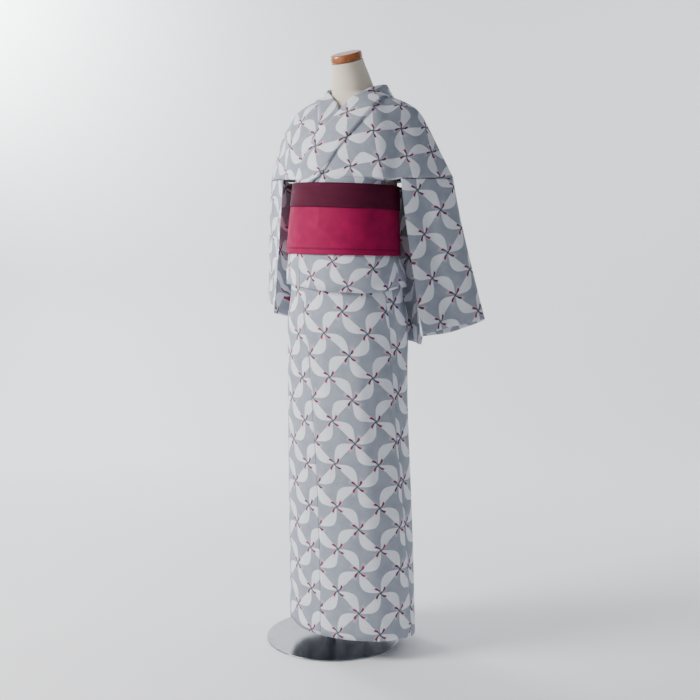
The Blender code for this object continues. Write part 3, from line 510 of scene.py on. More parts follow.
def torso_ring_table():
    """Rings from the hips to the neck, each as points at evenly spaced shares of the turn."""
    share = np.arange(TORSO_POINTS) / TORSO_POINTS
    angle = share * 360.0
    rings = []
    for sections, heights, inset in (
        (TORSO_SECTIONS, TORSO_HIPS, 0.0),
        (SKIRT_SECTIONS, TORSO_IN_SKIRT, FIT),
        (WAIST_SECTIONS, TORSO_IN_BELT, FIT),
        (TORSO_SECTIONS, TORSO_CHEST, 0.0),
    ):
        for height in heights:
            rings.append(section_point(sections, angle, height, -inset))
    for level in TORSO_SHOULDER_LEVELS:
        rings.append(chest_point(share * TURN, level, -SHOULDER_FIT))
    for height, middle, radius, lean in NECK_RINGS:
        tilt = NECK_LEAN * lean
        side = radius * np.sin(np.radians(angle))
        fore = -radius * np.cos(np.radians(angle))
        y = middle + fore * math.cos(tilt)
        rings.append(np.stack([AXIS_SIDE + side, y, height + fore * math.sin(tilt)], axis=-1))
    return np.array(rings)


torso_rings = torso_ring_table()
ring_knots = np.arange(len(torso_rings))[:, None]
ring_rows = np.hstack([ring_knots, torso_rings.reshape(len(torso_rings), -1)])
TORSO_ROWS = ROWS_PER_RING * (len(torso_rings) - 1)


def torso_place(across, up):
    at = through(ring_rows, up * (len(torso_rings) - 1)).reshape(-1, TORSO_POINTS, 3)
    point = np.rint(across * TORSO_POINTS).astype(int) % TORSO_POINTS
    return at[np.arange(len(point)), point]


def torso_chart(across, up):
    return np.stack([across * TORSO_MEASURE[0], up * TORSO_MEASURE[1]], axis=-1)


torso_mesh = carried_grid(TORSO_POINTS, TORSO_ROWS, torso_place, torso_chart, closed=True)
ends = [edge for edge in torso_mesh.edges if edge.is_boundary]
bmesh.ops.holes_fill(torso_mesh, edges=ends, sides=0)
bmesh.ops.recalc_face_normals(torso_mesh, faces=torso_mesh.faces)

JERSEY = (0.76, 0.68, 0.55)
JERSEY_SOILED_AND_SHADED = (0.62, 0.54, 0.41)
NECK_TOP = 1.459
NECK_FORWARD = 0.0228  # the middle of the neck's top lies this far forward of the foot's middle
RING_GAP = 0.0052

jersey = Paint("form_jersey", roughness=0.86)
jersey.shader.inputs["Sheen Weight"].default_value = 0.08
place = jersey.add("TexCoord").part("Object")
height = jersey.add("SeparateXYZ", {"Vector": place}).part("Z")
fore = jersey.add("SeparateXYZ", {"Vector": place}).part("Y")
below_cap = NECK_TOP - (height - (fore + NECK_FORWARD) * math.tan(NECK_LEAN))
gathers = (below_cap * (2 * math.pi / RING_GAP)).sum("SINE") * below_cap.step(0.034, 0.012)
knit = jersey.add("VectorMath", {0: place, 1: (900.0, 900.0, 420.0)}, operation="MULTIPLY")
loops = jersey.add("TexNoise", {"Vector": knit, "Scale": 1.0, "Detail": 2.0})
soil = jersey.add("TexNoise", {"Vector": place, "Scale": 14.0, "Detail": 4.0})
# Soil and knit vary the jersey's own colour. The gathers term is painted shade that darkens the folds of
# the rings under the cap.
tone = (soil.step(0.3, 0.8) * 0.35 + gathers.step(0.2, 1.0) * 0.22) + loops * 0.10
jersey.show(base_color=jersey.mix(tone, JERSEY, JERSEY_SOILED_AND_SHADED))
jersey.bump(gathers * 0.6 + loops * 0.4, 0.0006, 0.6)
show_piece("padded_torso", torso_mesh, jersey, "form_cover", "torso_form")


# Wooden cap: turned from one piece, rounded over at both rims, stained orange-brown and lacquered.
# The grain runs across its top and shows end-on in its side.
WOOD_LIGHT = (0.40, 0.125, 0.022)
WOOD_DARK = (0.17, 0.042, 0.008)

wood = Paint("cap_wood_lacquered", roughness=0.28)
wood.shader.inputs["Coat Weight"].default_value = 0.3
wood.shader.inputs["Coat Roughness"].default_value = 0.12
place = wood.add("TexCoord").part("Object")
sawn = wood.add("Mapping", {"Vector": place, "Rotation": (NECK_LEAN, 0.0, 0.5), "Scale": (14, 160, 60)})
grain = wood.add("TexNoise", {"Vector": sawn, "Scale": 1.0, "Detail": 6.0, "Distortion": 0.6})
pores = wood.add("TexNoise", {"Vector": sawn, "Scale": 6.0, "Detail": 2.0})
height = wood.add("SeparateXYZ", {"Vector": place}).part("Z")
fore = wood.add("SeparateXYZ", {"Vector": place}).part("Y")
# Painted shade: the cap darkens over its lowest 16 mm, towards the lower rim where it meets the neck.
lower_rim_painted_shade = ((height - NECK_TOP) - (fore + NECK_FORWARD) * math.tan(NECK_LEAN)).step(0.016, 0.002)
tone = grain.step(0.35, 0.7) * 0.55 + pores.step(0.55, 0.75) * 0.15 + lower_rim_painted_shade * 0.35
wood.show(base_color=wood.mix(tone, WOOD_LIGHT, WOOD_DARK))
wood.show(roughness=0.24 + pores * 0.16)
wood.bump(pores, 0.0001)
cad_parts["neck_cap"].material_slots[0].material = wood.look


# Skirt: six lengths of printed cotton, each a loom's width or less, sewn edge to edge and wrapped
# left over right. The hem is turned up and blind-stitched, and long soft folds fall from the hips.
SKIRT_TOP = 1.010  # the skirt ends under the belt
FRONT_SEAM = (
    (0.03, -2.4), (0.12, -2.4), (0.29, -2.5), (0.44, -3.7), (0.55, -6.0), (0.65, -8.3),
    (0.76, -12.3), (0.85, -19.5), (1.05, -23.0),
)
LEFT_SIDE_SEAM = (
    (0.03, 93.0), (0.12, 90.0), (0.29, 83.5), (0.44, 79.5), (0.55, 76.5), (0.65, 73.0),
    (0.76, 70.0), (0.85, 67.5), (1.05, 66.5),
)
RIGHT_SIDE_SEAM = -95.0
OVER_EDGE = -58.0  # free front edge of the over side
UNDER_EDGE = 58.0  # free front edge of the under side
EDGE_EASE = 1.0  # degrees left beside the side seam and the under edge, between which the over side drops
HIP_RADIUS = 0.15  # turns a seam's width into degrees
SEAM_ANGLE = math.degrees(SEAM / HIP_RADIUS)
HEM = (
    (-180.0, 0.044), (-120.0, 0.044), (-95.0, 0.047), (-60.0, 0.062), (-40.0, 0.063),
    (-25.0, 0.057), (0.0, 0.0565), (30.0, 0.055), (70.0, 0.050), (95.0, 0.041), (120.0, 0.042),
    (180.0, 0.044),
)
FOLD_EDGE = (
    (-180.0, 0.912), (-90.0, 0.916), (-45.0, 0.9185), (-23.0, 0.914), (0.0, 0.905), (44.0, 0.898),
    (63.0, 0.902), (85.0, 0.911), (180.0, 0.912),
)
# Soft lengthwise folds: degrees round at the waist and at the hem, height of the ridge (a trough
# is negative), half its width in degrees, heights where it starts and ends
SKIRT_FOLDS = (
    (28.0, 56.0, 0.0028, 8.0, 0.05, 0.82), (2.0, 9.0, 0.0012, 5.0, 0.30, 0.84),
    (58.0, 80.0, 0.0032, 8.0, 0.12, 0.82), (44.0, 66.0, 0.0012, 4.0, 0.42, 0.86),
    (-16.0, -24.0, 0.0014, 5.0, 0.08, 0.46), (-44.0, -40.0, 0.0016, 5.0, 0.28, 0.80),
    (112.0, 118.0, -0.0030, 10.0, 0.05, 0.82), (124.0, 129.0, 0.0014, 4.5, 0.30, 0.86),
    (138.0, 142.0, 0.0026, 11.0, 0.05, 0.80), (163.0, 160.0, -0.0016, 6.0, 0.12, 0.62),
    (-104.0, -106.0, 0.0014, 4.5, 0.36, 0.86), (-120.0, -116.0, -0.0028, 10.0, 0.05, 0.82),
    (-146.0, -140.0, 0.0024, 11.0, 0.15, 0.82), (-166.0, -170.0, 0.0015, 6.0, 0.05, 0.50),
)
FOLD_FADE_LOW = (0.08, 0.12)  # metres below and above a fold's lower end over which it fades
FOLD_FADE_HIGH = 0.16
FOLDS_FROM = (60.0, 72.0)  # the under layer stays smooth in front, out to these degrees
SKIRT_GRID = (44, 72)  # columns and rows
HEM_POWER = 3  # how fast the hem's rise dies out upwards

REPEAT = 0.1058  # from one pinwheel to the next like it, along the cloth
PETAL_ROUND = 4.0  # how square the petals' round side is
GROUND = (0.335, 0.362, 0.420)
GROUND_DEEP = (0.262, 0.292, 0.345)
PETAL = (0.80, 0.82, 0.87)
PETAL_DEEP = (0.70, 0.73, 0.78)
BLUSH = (0.74, 0.60, 0.72)
ARM_MIDDLE = (0.030, 0.036, 0.045)
ARM_TIP = (0.230, 0.006, 0.055)
ARM_TIP_DEEP = (0.085, 0.008, 0.035)
WAVER = 0.0036  # metres that the print's outlines wander in all
# In parts of a link between two pinwheels: an arm's half width in the middle and at the tip, its
# turn in the middle and how much more it turns on its way out, in radians
ARM_HALF = 0.013
ARM_SPREAD = 0.026
ARM_TURN = -0.22
ARM_CURL = 1.5

cotton = Paint("printed_cotton_plain_weave", roughness=0.88)
cotton.shader.inputs["Sheen Weight"].default_value = 0.05
cotton.shader.inputs["Sheen Roughness"].default_value = 0.5
cotton.shader.inputs["Specular IOR Level"].default_value = 0.3
cloth = cotton.add("UVMap", uv_map="cloth")
waver = cotton.add("TexNoise", {"Vector": cloth, "Scale": 42.0, "Detail": 2.0})
other = cotton.add("VectorMath", {0: cloth, 1: (7.3, 3.1, 0.0)}, operation="ADD")
waver_up = cotton.add("TexNoise", {"Vector": other, "Scale": 42.0, "Detail": 2.0})
split = cotton.add("SeparateXYZ", {"Vector": cloth})
across = split.part("X") + (waver - 0.5) * WAVER
up = split.part("Y") + (waver_up - 0.5) * WAVER

# The pinwheels stand on the corners of squares turned by an eighth: one square's two measures
first = (across + up) / REPEAT
second = (up - across) / REPEAT
first_part = first.sum("FRACT")
second_part = second.sum("FRACT")
odd = ((first.sum("FLOOR") + second.sum("FLOOR")) * 0.5).sum("FRACT") * 2.0
first_edge = 0.5 - (first_part - 0.5).sum("ABSOLUTE")
second_edge = 0.5 - (second_part - 0.5).sum("ABSOLUTE")
off_link = first_edge + odd * (second_edge - first_edge)
on_link = (second_part - 0.5) + odd * (first_part - second_part)

# A leaf-shaped petal lies on each link, straight on one side and round on the other
corner = off_link + 0.5
round_side = (corner + on_link).sum("ABSOLUTE").sum("POWER", PETAL_ROUND)
round_side = round_side + (corner - on_link).sum("ABSOLUTE").sum("POWER", PETAL_ROUND)
petal = round_side.step(1.05, 0.95) * on_link.sum("ABSOLUTE").step(0.450, 0.430)

# Four arms curl out of each pinwheel's middle and thicken towards their tips
first_near = first_part - first_part.sum("ROUND")
second_near = second_part - second_part.sum("ROUND")
reach = (first_near * first_near + second_near * second_near).sum("SQRT")
curl = reach * ARM_CURL + ARM_TURN
along_arm = first_near * curl.sum("COSINE") + second_near * curl.sum("SINE")
beside_arm = second_near * curl.sum("COSINE") - first_near * curl.sum("SINE")
off_arm = along_arm.sum("ABSOLUTE").sum("MINIMUM", beside_arm.sum("ABSOLUTE"))
arm_half = ARM_HALF + reach.step(0.03, 0.20) * ARM_SPREAD
arm = (off_arm - arm_half).step(0.005, -0.004) * reach.step(0.258, 0.232)
halo = (off_arm - arm_half).step(0.055, 0.0) * reach.step(0.38, 0.24) * reach.step(0.10, 0.20)

dye = cotton.add("TexNoise", {"Vector": cloth, "Scale": 26.0, "Detail": 5.0, "Roughness": 0.6})
warp = cotton.add("VectorMath", {0: cloth, 1: (1500.0, 60.0, 0.0)}, operation="MULTIPLY")
weft = cotton.add("VectorMath", {0: cloth, 1: (55.0, 1300.0, 0.0)}, operation="MULTIPLY")
warp_slub = cotton.add("TexNoise", {"Vector": warp, "Scale": 1.0, "Detail": 2.0})
weft_slub = cotton.add("TexNoise", {"Vector": weft, "Scale": 1.0, "Detail": 2.0})
slub = (warp_slub + weft_slub) * 0.5
ground = cotton.mix(dye.step(0.32, 0.70) * 0.8 + (slub - 0.5) * 1.6, GROUND, GROUND_DEEP)
white = cotton.mix(dye.step(0.68, 0.34) * 0.7 + (slub - 0.5) * 1.4, PETAL, PETAL_DEEP)
tip = cotton.mix(dye.step(0.42, 0.60), ARM_TIP, ARM_TIP_DEEP)
arms = cotton.mix(reach.step(0.07, 0.15), ARM_MIDDLE, tip)
colour = cotton.mix(petal, ground, white)
colour = cotton.mix(halo * 0.45, colour, BLUSH)
colour = cotton.mix(arm * 0.95, colour, arms)
cotton.show(base_color=colour)
cotton.bump(slub, 0.00035, 0.5)


def skirt_fold(angle, height):
    raised = np.zeros_like(angle)
    top = SKIRT_SECTIONS[-1][0]
    for top_angle, hem_angle, ridge, half_width, low, high in SKIRT_FOLDS:
        away = wrapped(angle - hem_angle - (top_angle - hem_angle) * height / top, 360.0)
        ends = soft_step(low - FOLD_FADE_LOW[0], low + FOLD_FADE_LOW[1], height)
        ends = ends * soft_step(high, high - FOLD_FADE_HIGH, height)
        raised = raised + ridge * ends * np.exp(-((away / half_width) ** 2))
    return raised


def print_laid(piece_measure, turn, aside, upward, ease):
    """Turns, shifts and eases the cloth's measure, so that the repeat falls where it was cut."""
    angle = math.radians(turn)
    cos, sin = ease * math.cos(angle), ease * math.sin(angle)
    x = piece_measure[:, 0] * cos - piece_measure[:, 1] * sin + aside
    y = piece_measure[:, 0] * sin + piece_measure[:, 1] * cos + upward
    return np.stack([x, y], axis=-1)


def cloth_wall(made, thickness):
    """Gives a piece its thickness, outward."""
    thick = made.modifiers.new("thickness", "SOLIDIFY")
    thick.thickness = thickness
    thick.offset = 1.0
    thick.use_even_offset = True
    return made


def left_side(height):
    return straight(LEFT_SIDE_SEAM, height)


def front_seam(height):
    return straight(FRONT_SEAM, height)


def skirt_panel(name, start_edge, end_edge, over, seam_share, print_at):
    """A skirt panel between two edges, each given as degrees for a height."""

    def place(across, up):
        height = HEM[0][1] + up * (SKIRT_TOP - HEM[0][1])
        start = start_edge(height)
        angle = start + across * (end_edge(height) - start)
        height = height + (1.0 - up) ** HEM_POWER * (straight(HEM, angle) - HEM[0][1])
        drop = soft_step(left_side(height) - EDGE_EASE, UNDER_EDGE + EDGE_EASE, angle)
        fold = skirt_fold(angle, height)
        if not over:
            fold = fold * soft_step(*FOLDS_FROM, np.abs(angle))
        return section_point(SKIRT_SECTIONS, angle, height, over * OVER_SKIRT * drop + fold)

    def chart(across, up):
        measure = np.stack([run_along(place, across, up, seam_share), place(across, up)[:, 2]], axis=-1)
        return print_laid(measure, *print_at)

    mesh = carried_grid(*SKIRT_GRID, place, chart)
    made = cloth_wall(show_piece("cotton_" + name, mesh, cotton, "printed_cotton", name), CLOTH)


skirt_panel(
    "skirt_back_left", lambda height: left_side(height) + SEAM_ANGLE,
    lambda height: 180.0 - SEAM_ANGLE / 2, 0, 0.0, (1.5, 0.0014, -0.0096, 0.98),
)
skirt_panel(
    "skirt_back_right", lambda height: SEAM_ANGLE / 2 - 180.0,
    lambda height: RIGHT_SIDE_SEAM - SEAM_ANGLE, 0, 1.0, (-1.0, 0.0200, -0.0096, 1.0),
)
skirt_panel(
    "skirt_front_right", lambda height: RIGHT_SIDE_SEAM,
    lambda height: -front_seam(height) - SEAM_ANGLE, 0, 0.0,
    (0.0, 0.0150, 0.0300, 1.0),
)
skirt_panel(
    "skirt_overlap_right", lambda height: -front_seam(height), lambda height: UNDER_EDGE, 0, 0.0,
    (0.0, 0.0, 0.0100, 1.0),
)
skirt_panel(
    "skirt_front_left", lambda height: front_seam(height) + SEAM_ANGLE, left_side, 1, 0.0,
    (0.75, 0.0064, -0.0188, 1.01),
)
skirt_panel(
    "skirt_overlap_left", lambda height: OVER_EDGE, front_seam, 1, 1.0,
    (0.0, -0.0245, -0.0119, 1.01),
)


# Upper part: each side is one cloth from the fold-over at the waist up over the shoulder and down
# the back, with no seam on the shoulder. Under the belt it is tied in; below it hangs out double.
# Level, height, and how many degrees from the front and the back the open side's edges lie
WAIST_ROWS = (
    (-6.0, 0.905, 84.9, 94.9), (-4.0, 0.990, 84.9, 94.9), (-3.0, 1.050, 82.0, 90.0),
    (-2.0, 1.110, 79.0, 85.0), (-1.0, 1.150, 76.0, 80.0), (-0.3, 1.165, 74.0, 76.0),
)
WAIST_LEVELS = tuple(row[0] for row in WAIST_ROWS)
CHEST_LEVELS = (0.0, 0.4, 0.8, 1.2, 1.8, 2.4, 3.0, 3.5, 4.0, 4.35, 4.65, 4.85, 5.0)
UPPER_LEVELS = WAIST_LEVELS + CHEST_LEVELS
SHELF = 0.004  # the last row inside the belt lies this far below level 0
COLLAR_LAP = 0.045  # the panels reach this far under the collar, in lines
# Collar stations, left end to right end: line and level of the sewn edge, then of the free edge
COLLAR = (
    (-0.50, -1.00, -1.40, -1.00), (-0.20, -0.30, -1.22, -0.30), (-0.08, 0.00, -1.13, 0.00),
    (0.20, 0.59, -0.57, 1.10), (0.55, 1.34, -0.27, 1.95), (1.01, 2.09, 0.18, 2.75),
    (1.36, 2.60, 0.45, 3.40), (1.66, 3.00, 0.68, 4.20), (2.02, 3.60, 1.05, 5.00),
    (2.42, 4.20, 1.60, 5.55), (2.74, 4.65, 2.25, 5.85), (3.25, 4.93, 3.10, 6.00),
    (4.00, 4.93, 4.00, 6.00), (5.00, 4.93, 5.00, 6.00), (6.00, 4.93, 6.00, 6.00),
    (6.75, 4.93, 6.90, 6.00), (7.55, 4.60, 7.75, 6.00), (8.30, 4.30, 8.50, 5.90),
    (9.08, 3.80, 9.40, 5.45), (9.45, 3.00, 9.95, 4.40), (9.74, 2.12, 10.32, 3.11),
    (10.12, 1.20, 10.57, 1.80), (10.40, 0.45, 10.80, 0.80), (10.55, 0.00, 10.98, 0.00),
    (10.62, -0.30, 11.04, -0.30), (10.80, -1.00, 11.15, -1.00),
)
LEFT_WAIST_SEAM = ((-6.0, -0.52), (-1.01, -0.50))
RIGHT_WAIST_SEAM = ((-6.0, 0.55), (-3.0, 0.68), (-1.01, 0.80))
LEFT_OVERLAP_EDGE = ((-6.0, -1.37), (-4.0, -1.37), (-3.0, -1.15), (-2.0, -0.80))
RIGHT_OVERLAP_EDGE = ((-6.0, 1.37), (-4.0, 1.37), (-3.0, 1.28), (-2.0, 1.15))
OVERLAP_LEVELS = (-6.0, -4.0, -3.0, -2.0)
# Soft level creases of the fold-over: line and level of the middle, levels it climbs per line,
# ridge, half its width in levels, half its length in lines
WAIST_CREASES = (
    (-0.47, -4.75, -0.10, 0.0016, 0.12, 0.50), (0.52, -5.05, -0.22, 0.0022, 0.14, 0.60),
    (1.22, -4.60, 0.20, 0.0020, 0.12, 0.42), (1.60, -5.10, -0.15, 0.0020, 0.15, 0.36),
    (-1.37, -5.05, 0.12, 0.0018, 0.14, 0.42), (4.45, -4.85, 0.18, 0.0022, 0.14, 0.42),
    (-4.45, -4.95, -0.14, 0.0022, 0.14, 0.42),
)
CREASE_CORE = 0.3  # share of a crease's half length that has its full height
WAIST_PRINT_TO = -1.5  # level, under the belt, where the waist's print gives way to the chest's
OVERLAP_GRID = (24, 30)
FINER = 4  # fine steps to each step of the plain wall
ARM_COLUMNS = 10
BACK_COLUMNS = 9


def upper_point(line, level, out):
    """A point of the upper part: on the chest from level 0 up, on the waist's rows below it."""
    line, level, out = np.broadcast_arrays(*(np.asarray(v, float) for v in (line, level, out)))
    turned = wrapped(line, TURN)
    rows = np.array(WAIST_ROWS)
    low = np.clip(level, rows[0, 0], rows[-1, 0])
    front_reach = np.interp(low, rows[:, 0], rows[:, 2])
    back_reach = np.interp(low, rows[:, 0], rows[:, 3])
    from_front = np.abs(turned) / ARM_FRONT * front_reach
    from_back = 180.0 - (BACK_SEAM - np.abs(turned)) / (BACK_SEAM - ARM_BACK) * back_reach
    between = front_reach + (np.abs(turned) - ARM_FRONT) * (180.0 - back_reach - front_reach) / 2
    angle = np.where(np.abs(turned) > ARM_FRONT, between, from_front)
    angle = np.sign(turned) * np.where(np.abs(turned) >= ARM_BACK, from_back, angle)
    chest = chest_point(line, np.maximum(level, 0.0), out)
    shelf = chest_bare(line, np.zeros_like(level))[..., 2] - SHELF
    height = np.interp(low, rows[:, 0], rows[:, 1])
    last = np.clip((low - rows[-2, 0]) / (rows[-1, 0] - rows[-2, 0]), 0.0, 1.0)
    height = height + last * (shelf - rows[-1, 1])
    first = np.clip((rows[1, 0] - low) / (rows[1, 0] - rows[0, 0]), 0.0, 1.0)
    height = height + first * (straight(FOLD_EDGE, angle) - rows[0, 1])
    waist = section_point(WAIST_SECTIONS, angle, height, out)
    share = np.clip((level - rows[-1, 0]) / -rows[-1, 0], 0.0, 1.0)[..., None]
    return waist + share * (chest - waist)


def waist_crease(line, level):
    raised = np.zeros_like(level)
    for middle, at, climb, ridge, half_width, half_length in WAIST_CREASES:
        along = wrapped(line - middle, TURN)
        away = level - at - climb * along
        ends = soft_step(half_length, half_length * CREASE_CORE, np.abs(along))
        raised = raised + ridge * ends * np.exp(-((away / half_width) ** 2))
    return raised


def worn_point(line, level, out):
    """The upper part's surface with its soft creases, which all its layers share."""
    return upper_point(line, level, out + waist_crease(line, level))


def over_off(line, level):
    """How far the left side lies off the body: over the right one in front, on the body behind."""
    line = wrapped(line, TURN)
    return OVER_CHEST * soft_step(*OVER_SIDE, line) * soft_step(*OVER_SHOULDER, level)


def body_off(line, level):
    return 0.0 * line


def sewn_edge(stations, waist_seam, side):
    """Where a panel's front edge crosses each level, in lines towards its own side."""
    rows = [(level, side * wrapped(line, TURN)) for line, level, _, _ in stations]
    rows += [(level, side * line) for level, line in waist_seam]
    rows.sort()

    def edge(level):
        lap = COLLAR_LAP * (level > waist_seam[-1][0])
        return straight(rows, level) - lap

    return edge


def fine(levels):
    steps = np.arange(FINER * (len(levels) - 1) + 1) / FINER
    return np.interp(steps, np.arange(len(levels)), levels)


def chest_measure(line, level):
    """Across from the centre front and up from the level of the sleeve seams, on the cloth."""

    def round_it(share, at_level):
        return upper_point(share, at_level, 0.0)

    across = run_along(round_it, line, level, np.zeros_like(line))
    up = run_along(lambda at, where: upper_point(where, at, 0.0), level, line, 0.0 * level)
    return np.stack([across, up], axis=-1)


def body_panel(name, side, edge, off, front_columns, chest_print, waist_print):
    columns = FINER * (front_columns + ARM_COLUMNS + BACK_COLUMNS)
    levels = fine(UPPER_LEVELS)
    rows = len(levels) - 1
    back_edge = BACK_SEAM - SEAM / 2 / BACK_LINE
    first_edge = edge(0.0)
    front_share = (ARM_FRONT - first_edge) / (back_edge - first_edge)
    arm_share = (ARM_BACK - first_edge) / (back_edge - first_edge)

    def line_at(across, up):
        level = levels[np.rint(up * rows).astype(int)]
        start = edge(level)
        chest = level >= 0.0
        front = np.where(chest, start + front_share * (back_edge - start), ARM_FRONT)
        back = np.where(chest, start + arm_share * (back_edge - start), ARM_BACK)
        step = across * columns / FINER
        past_front = np.clip((step - front_columns) / ARM_COLUMNS, 0.0, 1.0)
        past_arm = np.clip((step - front_columns - ARM_COLUMNS) / BACK_COLUMNS, 0.0, 1.0)
        line = start + np.minimum(step / front_columns, 1.0) * (front - start)
        line = line + past_front * (back - front) + past_arm * (back_edge - back)
        return side * line, level

    def place(across, up):
        line, level = line_at(across, up)
        return worn_point(line, level, off(line, level))

    def chart(across, up):
        line, level = line_at(across, up)
        measure = chest_measure(line, level)
        chest = print_laid(measure, *chest_print)
        waist = print_laid(measure, *waist_print)
        return np.where((level > WAIST_PRINT_TO)[:, None], chest, waist)

    def keep(across, up):
        step = across * columns / FINER
        under_arm = front_columns < step < front_columns + ARM_COLUMNS
        return up * rows > FINER * len(WAIST_ROWS) or not under_arm

    mesh = carried_grid(columns, rows, place, chart, keep, flip=side < 0)
    made = cloth_wall(show_piece("cotton_" + name, mesh, cotton, "printed_cotton", name), CLOTH)


def waist_overlap(name, side, seam, free_edge, out, print_at):
    """The overlap panel's short stretch in the fold-over, ending in a point under the belt."""
    levels = np.array(OVERLAP_LEVELS)

    def line_at(across, up):
        level = np.interp(up * (len(levels) - 1), np.arange(len(levels)), levels)
        free = straight(free_edge, level)
        sewn = straight(seam, level) + side * -SEAM / FRONT_LINE
        return free + across * (sewn - free), level

    def place(across, up):
        line, level = line_at(across, up)
        return worn_point(line, level, out)

    def chart(across, up):
        return print_laid(chest_measure(*line_at(across, up)), *print_at)

    mesh = carried_grid(*OVERLAP_GRID, place, chart, flip=side < 0)
    made = cloth_wall(show_piece("cotton_" + name, mesh, cotton, "printed_cotton", name), CLOTH)


left_edge = sewn_edge(COLLAR[:12], LEFT_WAIST_SEAM, 1)
right_edge = sewn_edge(COLLAR[15:], RIGHT_WAIST_SEAM, -1)
body_panel(
    "body_left_over", 1, left_edge, over_off, 14,
    (-57.5, -0.0085, -0.0027, 1.10), (14.5, 0.0102, -0.0053, 1.10),
)
body_panel(
    "body_right_under", -1, right_edge, body_off, 16,
    (75.0, 0.0083, 0.0044, 1.05), (14.5, 0.0102, -0.0053, 1.10),
)
waist_overlap(
    "waist_overlap_left", 1, LEFT_WAIST_SEAM, LEFT_OVERLAP_EDGE, OVER_CHEST,
    (14.5, 0.0102, -0.0053, 1.10),
)
waist_overlap(
    "waist_overlap_right", -1, RIGHT_WAIST_SEAM, RIGHT_OVERLAP_EDGE, 0.0,
    (14.5, 0.0102, -0.0053, 1.10),
)


# Collar: one long band, folded double and sewn over the raw edges of both fronts and the neckline.
# It stands off the nape, as on a dressed figure, and its left end covers its right one.
COLLAR_PRINT = (5.0, -0.0401, -0.0069, 0.97)
COLLAR_GRID = (200, 8)


def collar_place(across, up):
    stations = np.array(COLLAR)
    knots = np.arange(len(stations))[:, None]
    edges = through(np.hstack([knots, stations]), across * (len(stations) - 1))
    line = edges[:, 0] + up * (edges[:, 2] - edges[:, 0])
    level = edges[:, 1] + up * (edges[:, 3] - edges[:, 1])
    left_end = across < 0.5
    out = np.where(left_end, over_off(edges[:, 0], edges[:, 1]), 0.0) + COLLAR_OVER
    return upper_point(line, level, out)


def collar_chart(across, up):
    middle = run_along(collar_place, across, 0.5 + 0.0 * up, 0.0 * across)
    wide = run_along(lambda at, where: collar_place(where, at), up, across, 0.0 * up)
    return print_laid(np.stack([-wide, middle], axis=-1), *COLLAR_PRINT)


collar_mesh = carried_grid(*COLLAR_GRID, collar_place, collar_chart)
collar = show_piece("cotton_collar", collar_mesh, cotton, "printed_cotton", "collar_band")
cloth_wall(collar, COLLAR_CLOTH)


# Sleeves: each one cloth folded at its outer edge and hanging flat, open at the arm and at the
# lower end. The lit front side is smooth, and the side next to the body falls in a deep pleat.
CUFF_STEPS = (0.0, 2.5, 5.0, 7.5, 10.0, 12.0, 14.0, 17.0, 20.0)
LEFT_CUFF = (
    (0.2330, -0.060, 0.803), (0.2810, 0.008, 0.820), (0.3255, 0.078, 0.835), (0.2400, 0.096, 0.802),
    (0.1500, 0.103, 0.786), (0.0850, 0.102, 0.779), (0.1400, 0.068, 0.774), (0.1900, 0.010, 0.774),
    (0.2330, -0.060, 0.803),
)
RIGHT_CUFF = (
    (-0.1960, -0.060, 0.842), (-0.2540, 0.010, 0.858), (-0.3080, 0.078, 0.874),
    (-0.2200, 0.098, 0.848), (-0.1500, 0.103, 0.832), (-0.0850, 0.102, 0.826),
    (-0.1400, 0.070, 0.820), (-0.1740, 0.015, 0.824), (-0.1960, -0.060, 0.842),
)
SLEEVE_SEAM = 0.0020
SLEEVE_INNER_EDGE = (
    (12.0, 0.085, 0.084, 1.158), (14.0, 0.130, 0.064, 1.160), (17.0, 0.164, 0.006, 1.163),
)
SLEEVE_AROUND = 20
SLEEVE_MIDDLE = (0.19, 0.03)  # side and fore-and-aft place that its folds are raised away from
SLEEVE_FLARE = 1.15
SLEEVE_GRID = (100, 44)
SLEEVE_FOLDS_START = (0.0, 0.25)  # shares of the way down over which the folds set in
# Soft folds of a sleeve: step at the top and at the cuff, ridge, half its width in steps
SLEEVE_FOLDS = (
    (1.4, 2.2, -0.0050, 0.9), (2.6, 2.9, 0.0022, 0.5), (3.6, 3.9, 0.0030, 0.8),
    (7.6, 7.2, -0.0040, 1.1), (8.8, 9.0, 0.0026, 0.6), (6.4, 5.9, 0.0022, 0.5),
)


